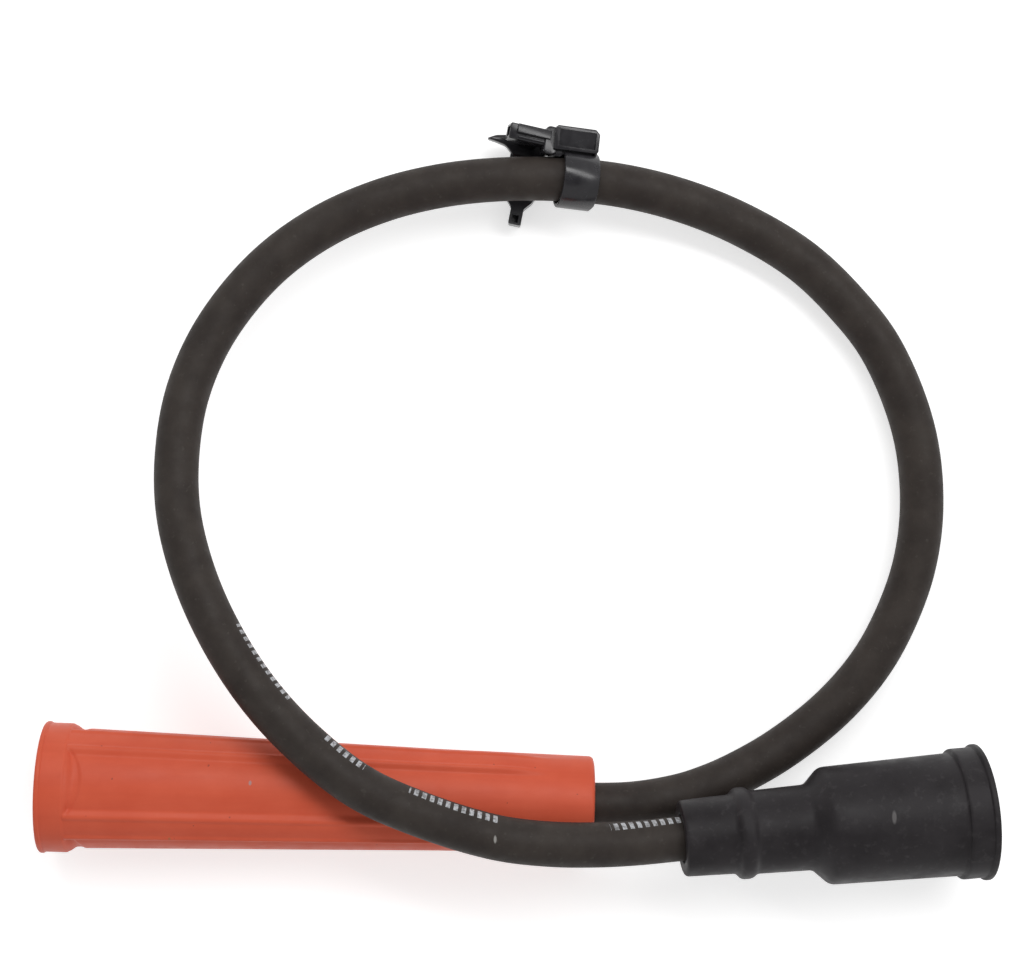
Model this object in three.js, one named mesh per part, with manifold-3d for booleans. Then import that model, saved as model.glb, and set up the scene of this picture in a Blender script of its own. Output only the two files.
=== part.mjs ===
// A spark plug wire lying flat on a bench: a silicone ignition cable with a long fluted plug boot
// on one end and a short cap boot on the other, a crimped terminal inside each boot, and a moulded
// clip round the cable. Millimetres, +Z up. The origin is the middle of the underside of all the
// pieces that the cable carries.

import * as THREE from 'three';
import { mergeVertices } from 'three/addons/utils/BufferGeometryUtils.js';
import Module from 'manifold-3d';

// The clearance between pieces that touch, and how far a cut runs past the face that it opens
const TOUCH_GAP = 0.3;
const CUT_REACH = 1;

// The cable
const CABLE_DIAMETER = 8;
const CABLE_SIDES = 10;
const CABLE_STEPS = 62;
const CORE_DIAMETER = 2.4;
const CORE_BARE_LENGTH = 5;
const CABLE_STRAIGHT_END = 8;

// How many flat faces stand for each round one
const CAP_BOOT_SIDES = 40;
const TOWER_SIDES = 32;
const BORE_SIDES = 24;
const TERMINAL_SIDES = 24;
const BAND_SIDES = 32;
const CORE_SIDES = 12;
const SPRING_SIDES = 8;
const SPRING_STEPS = 22;
const SPRING_POINTS = 12;
const FLUTE_FLOOR_COLUMNS = 6;

// The middle of the cable between the two boots, hand-laid, from the plug boot round to the cap boot
const CABLE_ROUTE = [
  [22.1, -55.8, 8.35], [30.4, -54.5, 7.4], [36.0, -52.8, 6.6], [41.6, -50.4, 5.8],
  [49.1, -46.2, 4.95], [58.2, -39.2, 4.4], [64.9, -31.8, 4.25], [69.4, -24.4, 4.2],
  [73.7, -13.2, 4.2], [75.3, -1.2, 4.2], [73.8, 12.7, 4.2], [67.9, 27.5, 4.2],
  [61.1, 36.4, 4.25], [52.8, 44.2, 4.35], [41.6, 50.8, 4.8], [30.4, 55.1, 5.8],
  [19.3, 57.6, 7.2], [8.3, 58.5, 8.7], [-2.7, 58.4, 9.4], [-13.7, 57.2, 9.5],
  [-24.7, 54.4, 9.5], [-35.7, 49.4, 9.8], [-45.7, 41.8, 10.5], [-54.4, 30.7, 11.9],
  [-59.1, 19.7, 13.7], [-60.8, 8.8, 15.7], [-60.4, -2.0, 17.7], [-57.6, -12.7, 19.6],
  [-52.8, -23.3, 21.3], [-46.0, -33.7, 22.8], [-38.0, -42.4, 23.8], [-27.6, -50.6, 24.4],
  [-17.2, -55.4, 24.3], [-3.5, -59.8, 23.2], [6.2, -61.2, 21.9], [15.2, -61.6, 20.1],
  [22.3, -61.5, 18.3],
];

// The rounded edges of both boots' lips
const LIP_EDGE = 0.25;

// The plug boot, measured from its mouth along its axis
const PLUG_BOOT_LENGTH = 99.8;
const PLUG_MOUTH_PLACE = [-85.6, -52.3];
const PLUG_BOOT_YAW = -2.13;
const PLUG_LIP_RADIUS = 11.9;
const PLUG_LIP_LENGTH = 1;
const PLUG_COLLAR_RADIUS = 11.65;
const PLUG_COLLAR_LENGTH = 5.4;
const PLUG_COLLAR_EDGE = 1;
const FLUTE_START_RADIUS = 10.85;
const FLUTE_WAIST_RADIUS = 9.2;
const FLUTE_WAIST_AT = 72;
const PLUG_END_RADIUS = 8.8;
const PLUG_END_EDGE = 0.8;
const FLUTE_COUNT = 4;
const LAND_ANGLE = 38.5;
const LAND_WIDTH_ANGLE = 25;
const LAND_FLANK_ANGLE = 6;
const LAND_HEIGHT = 0.6;
const FLUTE_NOSE = 3;
const FLUTE_FADE_FROM = 84;
const LAND_FADE_HEIGHT = 0.42;
const FLUTE_FADE_TO = 94;
const FLUTE_RINGS_AT = [14, 40];
const PLUG_BELL_RADIUS = 8.6;
const PLUG_THROAT_RADIUS = 7.1;
const PLUG_THROAT_DEPTH = 1.5;
const PLUG_ENTRY_RADIUS = 6.9;
const PLUG_ENTRY_DEPTH = 12;
const SEAL_LEAD = 1.5;
const SEAL_RADIUS = 5.5;
const SEAL_RIB_RADIUS = 5.2;
const SEAL_RIBS = [17, 21, 25];
const SEAL_RIB_LENGTH = 1.6;
const PLUG_TERMINAL_AT = 37;
const POCKET_LEAD = 1;
const BORE_LEAD = 0.5;

// The cap boot, measured from its mouth along its axis
const CAP_BOOT_LENGTH = 55.3;
const CAP_MOUTH_PLACE = [84.8, -56.8];
const CAP_BOOT_YAW = 184.36;
const CAP_BOOT_RISE = 4.8;
const CAP_LIP_RADIUS = 12.3;
const CAP_LIP_LENGTH = 1;
const CAP_COLLAR_RADIUS = 11.8;
const CAP_COLLAR_LENGTH = 5.1;
const CAP_COLLAR_EDGE = 0.3;
const CAP_BODY_RADIUS = 11.1;
const CAP_SHOULDER_RADIUS = 10.55;
const CAP_SHOULDER_AT = 29.2;
const CAP_SHOULDER_EDGE = 0.3;
const CAP_NECK_AT = 32.1;
const CAP_NECK_RADIUS = 7.7;
const CAP_NECK_TAPER = 0.3;
const CAP_RIB_AT = 44.2;
const CAP_RIB_RADIUS = 8.2;
const CAP_RIB_LENGTH = 3.4;
const CAP_NECK_END_RADIUS = 7.1;
const CAP_END_RADIUS = 6.8;
const CAP_END_EDGE = 0.9;
const TOWER_RADIUS = 8.5;
const TOWER_DEPTH = 26;
const TOWER_EDGE = 1;
const TOWER_BELL_RADIUS = 9.8;
const TOWER_THROAT_DEPTH = 1.5;
const CAP_TERMINAL_AT = 16;

// The terminals, rolled from sheet
const SHEET = 0.5;
const SEAM_WIDTH = 0.7;
const SOCKET_BORE_RADIUS = 3.6;
const SOCKET_LENGTH = 12;
const SOCKET_FLARE = 0.35;
const SOCKET_FLARE_LENGTH = 1;
const SPRING_WIRE_RADIUS = 0.35;
const SPRING_AT = 4.5;
const SPRING_OPENING_ANGLE = 70;
const TERMINAL_CONE_LENGTH = 2;
const TERMINAL_NECK_LENGTH = 3;
const BARREL_CONE_LENGTH = 1.8;
const BARREL_LENGTH = 9;
const CRIMP_DEPTH = 0.12;
const CRIMP_FROM = 3.15;
const CRIMP_TO = 5.85;

// The clip, in a frame at the middle of its band: X along the cable, Y across it, Z up
const CLIP_PLACE = [11.25, 58.3, 8.3];
const CLIP_YAW = -6;
const CLIP_PITCH = 11;
const BAND_CLEARANCE = 0.55;
const BAND_WALL = 0.75;
const BAND_WIDTH = 6.6;
const BAND_EDGE = 0.2;
const BLOCK_SIZE = [8.3, 4.4, 5.3];
const BLOCK_CENTRE = [-1.15, 7.1, 0.25];
const BLOCK_EDGE = 0.4;
const BLOCK_CORNER = 0.8;
const LEG_WIDTH = 3;
const LEG_LOW = 3.4;
const WALL_WIDTH = 0.6;
const SLOT_SIZE = [6, 0.5, 2.7];
const SLOT_CENTRE = [-0.6, 4.7, 2.65];

// The clip's arm and foot, in the same frame turned by a few degrees
const FOOT_TURN = -5;
const FLANGE_SIZE = [1.75, 5.2, 3.6];
const FLANGE_CENTRE = [-6.6, 6.05, -0.3];
const FLANGE_CORNER = 0.5;
const FLANGE_OVERLAP = 1;
const ARM_SIZE = [8.2, 2.9, 4.4];
const ARM_CENTRE = [-10, 6.25, -0.1];
const POST_SIZE = [3.4, 2.6];
const POST_CENTRE = [-9.4, 6.2];
const POST_TOP = 1.1;
const FOOT_AT = -8.85;
const FOOT_WIDTH = 6.4;
const FOOT_DROP = 1.3;
const FOOT_TOP = 4.2;
const FOOT_CORNER = 0.7;
const FUNNEL_AT = -4.8;
const FUNNEL_WIDTH = 5.2;
const FUNNEL_LENGTH = 1.6;
const PEG_WIDTH = 2.4;
const PEG_TIP = -9.5;
const PEG_THICKNESS = 3.4;
const PEG_HOLE_SIZE = [1.3, 1.4, 1.5];
const PEG_HOLE_INSET = 0.4;
const WING_OUTLINE = [
  [8.2, 5], [6.6, 6], [4.5, 6.5], [0, 6.2], [-4.5, 6.5], [-6.6, 6], [-8.2, 5],
  [-6.3, 4.8], [-4.6, 4.5], [-3.5, 3.6], [-2.9, 2.9], [2.9, 2.9], [3.5, 3.6], [4.6, 4.5], [6.3, 4.8],
];
const WING_LIFT = 1.4;
const WING_THICKNESS = 3.2;

const CABLE_RADIUS = CABLE_DIAMETER / 2;
const BORE_RADIUS = CABLE_RADIUS + TOUCH_GAP;
const BARREL_BORE_RADIUS = CABLE_RADIUS + TOUCH_GAP;
const BARREL_RADIUS = BARREL_BORE_RADIUS + SHEET;
const POCKET_RADIUS = BARREL_RADIUS + TOUCH_GAP;
const NECK_BORE_RADIUS = CORE_DIAMETER / 2 + TOUCH_GAP;
const SOCKET_RADIUS = SOCKET_BORE_RADIUS + SHEET;
const NECK_RADIUS = NECK_BORE_RADIUS + SHEET;

const degrees = THREE.MathUtils.degToRad;
const mix = THREE.MathUtils.lerp;

const wasm = await Module();
wasm.setup();

// Materials, as the photograph shows them
const orangeSilicone = new THREE.MeshStandardMaterial({ color: 0xc85b45, roughness: 0.5, metalness: 0 });
const blackRubber = new THREE.MeshStandardMaterial({ color: 0x322e30, roughness: 0.6, metalness: 0 });
const greyJacket = new THREE.MeshStandardMaterial({ color: 0x3c3835, roughness: 0.65, metalness: 0 });
const blackNylon = new THREE.MeshStandardMaterial({ color: 0x1c1b1d, roughness: 0.3, metalness: 0 });
const platedSteel = new THREE.MeshStandardMaterial({ color: 0xb9b6ae, roughness: 0.35, metalness: 1 });
const springSteel = new THREE.MeshStandardMaterial({ color: 0x9a9894, roughness: 0.3, metalness: 1 });
const coreFibre = new THREE.MeshStandardMaterial({ color: 0x2a2825, roughness: 0.8, metalness: 0 });

// A closed geometry as a solid that can be joined and cut
function solidOf(geometry) {
  geometry.deleteAttribute('normal');
  geometry.deleteAttribute('uv');
  const merged = mergeVertices(geometry, 1e-4);
  const corners = merged.index.array;
  const kept = [];
  for (let i = 0; i < corners.length; i += 3) {
    const [a, b, c] = [corners[i], corners[i + 1], corners[i + 2]];
    if (a !== b && b !== c && c !== a) kept.push(a, b, c);
  }
  const places = Float32Array.from(merged.attributes.position.array);
  const triangles = Uint32Array.from(kept);
  return new wasm.Manifold(new wasm.Mesh({ numProp: 3, vertProperties: places, triVerts: triangles }));
}

function geometryOf(solid) {
  const mesh = solid.getMesh();
  const geometry = new THREE.BufferGeometry();
  geometry.setAttribute('position', new THREE.BufferAttribute(mesh.vertProperties, 3));
  geometry.setIndex(new THREE.BufferAttribute(mesh.triVerts, 1));
  geometry.computeVertexNormals();
  return geometry;
}

function pieceOf(name, geometry, material) {
  const piece = new THREE.Mesh(geometry, material);
  piece.name = name;
  return piece;
}

// A profile of [distance along the axis, radius] pairs turned round the X axis
function revolve(profile, segments) {
  const points = profile.map(([along, radius]) => new THREE.Vector2(radius, along));
  const geometry = new THREE.LatheGeometry(points, segments);
  geometry.rotateZ(-Math.PI / 2);
  return geometry;
}

// A solid rod with a profile of its own, from axis to axis
function turned(profile, segments) {
  const [first] = profile[0];
  const [last] = profile[profile.length - 1];
  return solidOf(revolve([[first, 0], ...profile, [last, 0]], segments));
}

// A skin through rings of the same number of points, closed by a fan at each end
function loft(rings) {
  const count = rings[0].length;
  const places = [];
  const triangles = [];
  for (const ring of rings) {
    for (const point of ring) places.push(point.x, point.y, point.z);
  }
  for (let i = 0; i + 1 < rings.length; i += 1) {
    for (let k = 0; k < count; k += 1) {
      const here = i * count + k;
      const beside = i * count + (k + 1) % count;
      triangles.push(here, beside, here + count);
      triangles.push(beside, beside + count, here + count);
    }
  }
  const ends = [rings[0], rings[rings.length - 1]];
  const starts = [0, (rings.length - 1) * count];
  ends.forEach((ring, end) => {
    const middle = places.length / 3;
    places.push(ring[0].x, 0, 0);
    for (let k = 0; k < count; k += 1) {
      const here = starts[end] + k;
      const beside = starts[end] + (k + 1) % count;
      if (end === 0) triangles.push(middle, beside, here);
      else triangles.push(middle, here, beside);
    }
  });
  const geometry = new THREE.BufferGeometry();
  geometry.setAttribute('position', new THREE.Float32BufferAttribute(places, 3));
  geometry.setIndex(triangles);
  return geometry;
}

// An outline in X and Y, thick from one height to another
function slab(outline, low, high) {
  const shape = new THREE.Shape(outline.map(([x, y]) => new THREE.Vector2(x, y)));
  const geometry = new THREE.ExtrudeGeometry(shape, { depth: high - low, bevelEnabled: false });
  geometry.translate(0, 0, low);
  return solidOf(geometry);
}

function block(size, centre) {
  const geometry = new THREE.BoxGeometry(...size);
  geometry.translate(...centre);
  return solidOf(geometry);
}

// The angles round the plug boot's section, with columns on every edge of its lands
function columnAngles() {
  const pitch = 360 / FLUTE_COUNT;
  const half = LAND_WIDTH_ANGLE / 2;
  const foot = half + LAND_FLANK_ANGLE;
  const floor = pitch - 2 * foot;
  const offsets = [-half, -half / 2, 0, half / 2, half, foot];
  for (let column = 1; column < FLUTE_FLOOR_COLUMNS; column += 1) {
    offsets.push(foot + floor * column / FLUTE_FLOOR_COLUMNS);
  }
  offsets.push(pitch - foot);
  const angles = [];
  for (let land = 0; land < FLUTE_COUNT; land += 1) {
    for (const offset of offsets) angles.push(LAND_ANGLE + land * pitch + offset);
  }
  return angles;
}

// How far a direction is from the middle of its nearest land, in degrees
function angleFromLand(angle) {
  const pitch = 360 / FLUTE_COUNT;
  const past = THREE.MathUtils.euclideanModulo(angle - LAND_ANGLE, pitch);
  return Math.min(past, pitch - past);
}

// The radius of the plug boot's flute floor
function fluteRadius(along) {
  if (along < FLUTE_WAIST_AT) {
    const start = PLUG_COLLAR_LENGTH + PLUG_COLLAR_EDGE;
    return mix(FLUTE_START_RADIUS, FLUTE_WAIST_RADIUS, (along - start) / (FLUTE_WAIST_AT - start));
  }
  const share = (along - FLUTE_WAIST_AT) / (PLUG_BOOT_LENGTH - FLUTE_WAIST_AT);
  return mix(FLUTE_WAIST_RADIUS, PLUG_END_RADIUS, share);
}

// A ring of the fluted length: lands stand proud of the floor, and the nose bows each flute's start
function flutedRing(along, proud, bow) {
  const half = LAND_WIDTH_ANGLE / 2;
  const middle = 180 / FLUTE_COUNT;
  return columnAngles().map((angle) => {
    const away = angleFromLand(angle);
    const floorShare = THREE.MathUtils.smoothstep(away, half, half + LAND_FLANK_ANGLE);
    const across = Math.max(0, (away - half) / (middle - half));
    const place = along + bow * (1 - (1 - across) ** 2);
    const radius = fluteRadius(place) + proud * (1 - floorShare);
    const turn = degrees(angle);
    return new THREE.Vector3(place, radius * Math.cos(turn), radius * Math.sin(turn));
  });
}

function roundRing(along, radius) {
  return columnAngles().map((angle) => {
    const turn = degrees(angle);
    return new THREE.Vector3(along, radius * Math.cos(turn), radius * Math.sin(turn));
  });
}

// The last steps of a boot's profile, where its edge rounds over to the end face
function roundedEnd(length, radius, edge) {
  return [[length - edge, radius], [length - edge / 4, radius - edge / 3], [length, radius - edge]];
}

// The outside of the plug boot: lip, collar, four flutes that fade out, and a round cable end
function plugBootSkin() {
  const collarEnd = PLUG_COLLAR_LENGTH;
  const rings = [
    roundRing(0, PLUG_LIP_RADIUS - LIP_EDGE),
    roundRing(LIP_EDGE, PLUG_LIP_RADIUS),
    roundRing(PLUG_LIP_LENGTH - LIP_EDGE, PLUG_LIP_RADIUS),
    roundRing(PLUG_LIP_LENGTH, PLUG_COLLAR_RADIUS),
    roundRing(collarEnd - PLUG_COLLAR_EDGE / 2, PLUG_COLLAR_RADIUS),
    roundRing(collarEnd, PLUG_COLLAR_RADIUS - PLUG_COLLAR_EDGE / 6),
    flutedRing(collarEnd + PLUG_COLLAR_EDGE, LAND_HEIGHT, FLUTE_NOSE),
    ...FLUTE_RINGS_AT.map((along) => flutedRing(along, LAND_HEIGHT, 0)),
    flutedRing(FLUTE_WAIST_AT, LAND_HEIGHT, 0),
    flutedRing(FLUTE_FADE_FROM, LAND_FADE_HEIGHT, 0),
    flutedRing(FLUTE_FADE_TO, 0, 0),
    ...roundedEnd(PLUG_BOOT_LENGTH, PLUG_END_RADIUS, PLUG_END_EDGE).map((step) => roundRing(...step)),
  ];
  return solidOf(loft(rings));
}

// The hollow of the plug boot: belled mouth, plug entry, ribbed seal, terminal pocket and cable bore
function plugBootHollow() {
  const pocketEnd = PLUG_TERMINAL_AT + terminalLength() + TOUCH_GAP;
  const socketEnd = PLUG_TERMINAL_AT + SOCKET_LENGTH + TERMINAL_CONE_LENGTH;
  const profile = [
    [-CUT_REACH, PLUG_BELL_RADIUS],
    [PLUG_THROAT_DEPTH, PLUG_THROAT_RADIUS],
    [PLUG_ENTRY_DEPTH, PLUG_ENTRY_RADIUS],
    [PLUG_ENTRY_DEPTH + SEAL_LEAD, SEAL_RADIUS],
  ];
  for (const rib of SEAL_RIBS) {
    profile.push([rib - SEAL_RIB_LENGTH / 2, SEAL_RADIUS]);
    profile.push([rib, SEAL_RIB_RADIUS]);
    profile.push([rib + SEAL_RIB_LENGTH / 2, SEAL_RADIUS]);
  }
  profile.push([socketEnd, SEAL_RADIUS]);
  profile.push([socketEnd + POCKET_LEAD, POCKET_RADIUS]);
  profile.push([pocketEnd, POCKET_RADIUS]);
  profile.push([pocketEnd + BORE_LEAD, BORE_RADIUS]);
  profile.push([PLUG_BOOT_LENGTH + CUT_REACH, BORE_RADIUS]);
  return turned(profile, BORE_SIDES);
}

function plugBoot() {
  return geometryOf(plugBootSkin().subtract(plugBootHollow()));
}

// The outside of the cap boot: lip, collar, tapering body, shoulder, and a ribbed neck
function capBootSkin() {
  const ribHalf = CAP_RIB_LENGTH / 2;
  const profile = [
    [0, CAP_LIP_RADIUS - LIP_EDGE],
    [LIP_EDGE, CAP_LIP_RADIUS],
    [CAP_LIP_LENGTH - LIP_EDGE, CAP_LIP_RADIUS],
    [CAP_LIP_LENGTH, CAP_COLLAR_RADIUS],
    [CAP_COLLAR_LENGTH - CAP_COLLAR_EDGE, CAP_COLLAR_RADIUS],
    [CAP_COLLAR_LENGTH, CAP_COLLAR_RADIUS - CAP_COLLAR_EDGE],
    [CAP_COLLAR_LENGTH, CAP_BODY_RADIUS],
    [CAP_SHOULDER_AT - CAP_SHOULDER_EDGE * 2, CAP_SHOULDER_RADIUS],
    [CAP_SHOULDER_AT, CAP_SHOULDER_RADIUS - CAP_SHOULDER_EDGE],
    [CAP_NECK_AT, CAP_NECK_RADIUS],
    [CAP_RIB_AT - ribHalf, CAP_NECK_RADIUS - CAP_NECK_TAPER],
  ];
  for (const share of [-0.5, 0, 0.5]) {
    const rise = CAP_RIB_RADIUS - CAP_NECK_RADIUS + CAP_NECK_TAPER;
    profile.push([CAP_RIB_AT + share * ribHalf, CAP_RIB_RADIUS - rise * share ** 2]);
  }
  profile.push([CAP_RIB_AT + ribHalf, CAP_NECK_END_RADIUS]);
  profile.push(...roundedEnd(CAP_BOOT_LENGTH, CAP_END_RADIUS, CAP_END_EDGE));
  return turned(profile, CAP_BOOT_SIDES);
}

// The hollow of the cap boot: a wide cavity for the tower, then the terminal pocket and cable bore
function capBootHollow() {
  const pocketEnd = CAP_TERMINAL_AT + terminalLength() + TOUCH_GAP;
  const profile = [
    [-CUT_REACH, TOWER_BELL_RADIUS],
    [TOWER_THROAT_DEPTH, TOWER_RADIUS],
    [TOWER_DEPTH - TOWER_EDGE, TOWER_RADIUS],
    [TOWER_DEPTH, TOWER_RADIUS - TOWER_EDGE],
    [TOWER_DEPTH, POCKET_RADIUS],
    [pocketEnd, POCKET_RADIUS],
    [pocketEnd + BORE_LEAD, BORE_RADIUS],
    [CAP_BOOT_LENGTH + CUT_REACH, BORE_RADIUS],
  ];
  return turned(profile, TOWER_SIDES);
}

function capBoot() {
  return geometryOf(capBootSkin().subtract(capBootHollow()));
}

// The back half of a terminal: a neck on the bare core and a barrel on the jacket
function crimpOutside(start) {
  const barrel = start + TERMINAL_NECK_LENGTH + BARREL_CONE_LENGTH;
  return [
    [start, NECK_RADIUS],
    [start + TERMINAL_NECK_LENGTH, NECK_RADIUS],
    [barrel, BARREL_RADIUS],
    [barrel + CRIMP_FROM, BARREL_RADIUS],
    [barrel + (CRIMP_FROM + CRIMP_TO) / 2, BARREL_RADIUS - CRIMP_DEPTH],
    [barrel + CRIMP_TO, BARREL_RADIUS],
    [barrel + BARREL_LENGTH, BARREL_RADIUS],
  ];
}

function crimpInside(start) {
  const barrel = start + TERMINAL_NECK_LENGTH + BARREL_CONE_LENGTH;
  return [
    [start, NECK_BORE_RADIUS],
    [start + TERMINAL_NECK_LENGTH, NECK_BORE_RADIUS],
    [barrel, BARREL_BORE_RADIUS],
    [barrel + BARREL_LENGTH + CUT_REACH, BARREL_BORE_RADIUS],
  ];
}

function crimpLength() {
  return TERMINAL_NECK_LENGTH + BARREL_CONE_LENGTH + BARREL_LENGTH;
}

function terminalLength() {
  return SOCKET_LENGTH + TERMINAL_CONE_LENGTH + crimpLength();
}

// The butt seam of the rolled sheet, open on the terminal's upper side
function seam(length) {
  const size = [length + CUT_REACH * 2, SEAM_WIDTH, BARREL_RADIUS * 2];
  return block(size, [length / 2, 0, BARREL_RADIUS]);
}

// A terminal: a flared socket that snaps over a round nut, then the crimped back half
function socketTerminal() {
  const crimpStart = SOCKET_LENGTH + TERMINAL_CONE_LENGTH;
  const outside = turned([
    [0, SOCKET_RADIUS + SOCKET_FLARE],
    [SOCKET_FLARE_LENGTH, SOCKET_RADIUS],
    [SOCKET_LENGTH, SOCKET_RADIUS],
    ...crimpOutside(crimpStart),
  ], TERMINAL_SIDES);
  const inside = turned([
    [-SOCKET_FLARE_LENGTH, SOCKET_BORE_RADIUS + SOCKET_FLARE * 2],
    [SOCKET_FLARE_LENGTH, SOCKET_BORE_RADIUS],
    [SOCKET_LENGTH - SHEET, SOCKET_BORE_RADIUS],
    ...crimpInside(crimpStart),
  ], TERMINAL_SIDES);
  return geometryOf(outside.subtract(inside).subtract(seam(terminalLength())));
}

// The spring round a terminal's socket: an open ring of round wire
function terminalSpring() {
  const radius = SOCKET_RADIUS + TOUCH_GAP + SPRING_WIRE_RADIUS;
  const opening = degrees(SPRING_OPENING_ANGLE);
  const sweep = 2 * Math.PI - opening;
  const points = [];
  for (let point = 0; point <= SPRING_POINTS; point += 1) {
    const turn = Math.PI / 2 + opening / 2 + sweep * point / SPRING_POINTS;
    points.push(new THREE.Vector3(SPRING_AT, radius * Math.cos(turn), radius * Math.sin(turn)));
  }
  const line = new THREE.CatmullRomCurve3(points);
  return wireAlong(line, SPRING_WIRE_RADIUS, SPRING_SIDES, SPRING_STEPS);
}

// The bare conductor that runs from the cut cable end into a terminal's neck
function core() {
  const radius = CORE_DIAMETER / 2;
  return geometryOf(turned([[0, radius], [CORE_BARE_LENGTH, radius]], CORE_SIDES));
}

// A round wire along a curve
function wireAlong(curve, radius, sides, steps) {
  const section = new THREE.Shape();
  for (let side = 0; side < sides; side += 1) {
    const turn = 2 * Math.PI * (side + 0.5) / sides;
    const [x, y] = [radius * Math.cos(turn), radius * Math.sin(turn)];
    if (side === 0) section.moveTo(x, y);
    else section.lineTo(x, y);
  }
  section.closePath();
  return new THREE.ExtrudeGeometry(section, { steps, extrudePath: curve, bevelEnabled: false });
}

// The band: a flat ring round the cable
function clipBand() {
  const bore = CABLE_RADIUS + BAND_CLEARANCE;
  const outer = bore + BAND_WALL;
  const half = BAND_WIDTH / 2;
  return solidOf(revolve([
    [-half, bore], [-half, outer - BAND_EDGE], [-half + BAND_EDGE, outer],
    [half - BAND_EDGE, outer], [half, outer - BAND_EDGE], [half, bore], [-half, bore],
  ], BAND_SIDES));
}

// A rod along X as wide as the band's bore, to keep the cable's way clear
function cableWay(start, end) {
  const radius = CABLE_RADIUS + BAND_CLEARANCE;
  return turned([[start, radius], [end, radius]], BAND_SIDES);
}

// The locking block beside the band, with a leg and a wall that carry it, and the strap's slot
function clipBlock() {
  const [width, height, depth] = BLOCK_SIZE;
  const [x, y, z] = BLOCK_CENTRE;
  const [left, right] = [x - width / 2, x + width / 2];
  const [low, high] = [y - height / 2, y + height / 2];
  const [under, over] = [z - depth / 2, z + depth / 2];
  const body = slab([
    [left, low], [right - BLOCK_EDGE, low], [right, low + BLOCK_EDGE], [right, high - BLOCK_CORNER],
    [right - BLOCK_CORNER, high], [left + BLOCK_EDGE, high], [left, high - BLOCK_EDGE],
  ], under, over);
  const leg = slab([
    [left, LEG_LOW], [left + LEG_WIDTH, LEG_LOW], [left + LEG_WIDTH, y], [left, y],
  ], under, z + depth / 4);
  const wall = slab([
    [right - WALL_WIDTH, LEG_LOW], [right, LEG_LOW], [right, y], [right - WALL_WIDTH, y],
  ], under, z + depth / 4);
  return body.add(leg).add(wall).subtract(cableWay(left - CUT_REACH, right + CUT_REACH));
}

// The flange beside the block, the arm that leaves it, and the post down to the foot
function clipArm(floor) {
  const [width, height, depth] = FLANGE_SIZE;
  const [x, y, z] = FLANGE_CENTRE;
  const [left, right] = [x - width / 2, x + width / 2 + FLANGE_OVERLAP];
  const [low, high] = [y - height / 2, y + height / 2];
  const flange = slab([
    [left + FLANGE_CORNER, low], [right, low], [right, high], [left + FLANGE_CORNER, high],
    [left, high - FLANGE_CORNER], [left, low + FLANGE_CORNER],
  ], z - depth / 2, z + depth / 2);
  const arm = block(ARM_SIZE, ARM_CENTRE);
  const postFoot = floor + WING_LIFT;
  const post = block([...POST_SIZE, POST_TOP - postFoot], [...POST_CENTRE, (POST_TOP + postFoot) / 2]);
  return flange.add(arm).add(post);
}

// The foot under the cable: two wings, a plate, a funnel and a peg with a hole, cut off at the floor
function clipFoot(floor) {
  const top = -CABLE_RADIUS - FOOT_DROP - TOUCH_GAP;
  const half = FOOT_WIDTH / 2;
  const mouth = FUNNEL_WIDTH / 2;
  const peg = PEG_WIDTH / 2;
  const funnelEnd = FUNNEL_AT - FUNNEL_LENGTH;
  const onFoot = ([x, y]) => [x + FOOT_AT, y];
  const plate = slab([
    [-mouth, FUNNEL_AT], [-peg, funnelEnd], [-peg, PEG_TIP], [peg, PEG_TIP], [peg, funnelEnd],
    [mouth, FUNNEL_AT], [half, FUNNEL_AT + FUNNEL_LENGTH], [half, FOOT_TOP - FOOT_CORNER],
    [half - FOOT_CORNER, FOOT_TOP], [FOOT_CORNER - half, FOOT_TOP], [-half, FOOT_TOP - FOOT_CORNER],
    [-half, FUNNEL_AT + FUNNEL_LENGTH],
  ].map(onFoot), floor, top);
  const wings = slab(WING_OUTLINE.map(onFoot), floor + WING_LIFT, floor + WING_LIFT + WING_THICKNESS);
  const pegTop = floor + PEG_THICKNESS;
  const aside = FUNNEL_AT - PEG_TIP + CUT_REACH;
  const thin = block([FOOT_WIDTH, aside, aside], [FOOT_AT, FUNNEL_AT - aside / 2, pegTop + aside / 2]);
  const [, deep, high] = PEG_HOLE_SIZE;
  const hole = block(PEG_HOLE_SIZE, [FOOT_AT, PEG_TIP + PEG_HOLE_INSET + deep / 2, pegTop - high / 2]);
  return plate.subtract(thin).subtract(hole).add(wings);
}

// The height of the bench in the clip's frame, under the foot's lowest edge
function floorUnderFoot() {
  const tilt = degrees(CLIP_PITCH);
  const turn = degrees(FOOT_TURN);
  const x = FOOT_AT + FOOT_WIDTH / 2;
  const edge = x * Math.cos(turn) - (FOOT_TOP - FOOT_CORNER) * Math.sin(turn);
  return (edge * Math.sin(tilt) - CLIP_PLACE[2]) / Math.cos(tilt);
}

function wireClip() {
  const floor = floorUnderFoot();
  const foot = clipArm(floor).add(clipFoot(floor)).rotate([0, 0, FOOT_TURN]);
  const slot = block(SLOT_SIZE, SLOT_CENTRE);
  return geometryOf(clipBand().add(clipBlock()).subtract(slot).add(foot));
}

// How far the plug boot tips so that its lip and its cable end both lie on the bench
function plugBootFall() {
  return Math.atan((PLUG_LIP_RADIUS - PLUG_END_RADIUS) / (PLUG_BOOT_LENGTH - PLUG_LIP_LENGTH / 2));
}

// A frame at a boot's mouth, with X down its axis; the lip touches the bench
function bootFrame(place, yaw, fall, lipRadius, lipLength) {
  const frame = new THREE.Group();
  const height = lipRadius * Math.cos(fall) + lipLength / 2 * Math.sin(fall);
  frame.position.set(place[0], place[1], height);
  frame.rotation.set(0, fall, degrees(yaw), 'ZYX');
  frame.updateMatrixWorld();
  return frame;
}

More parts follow.
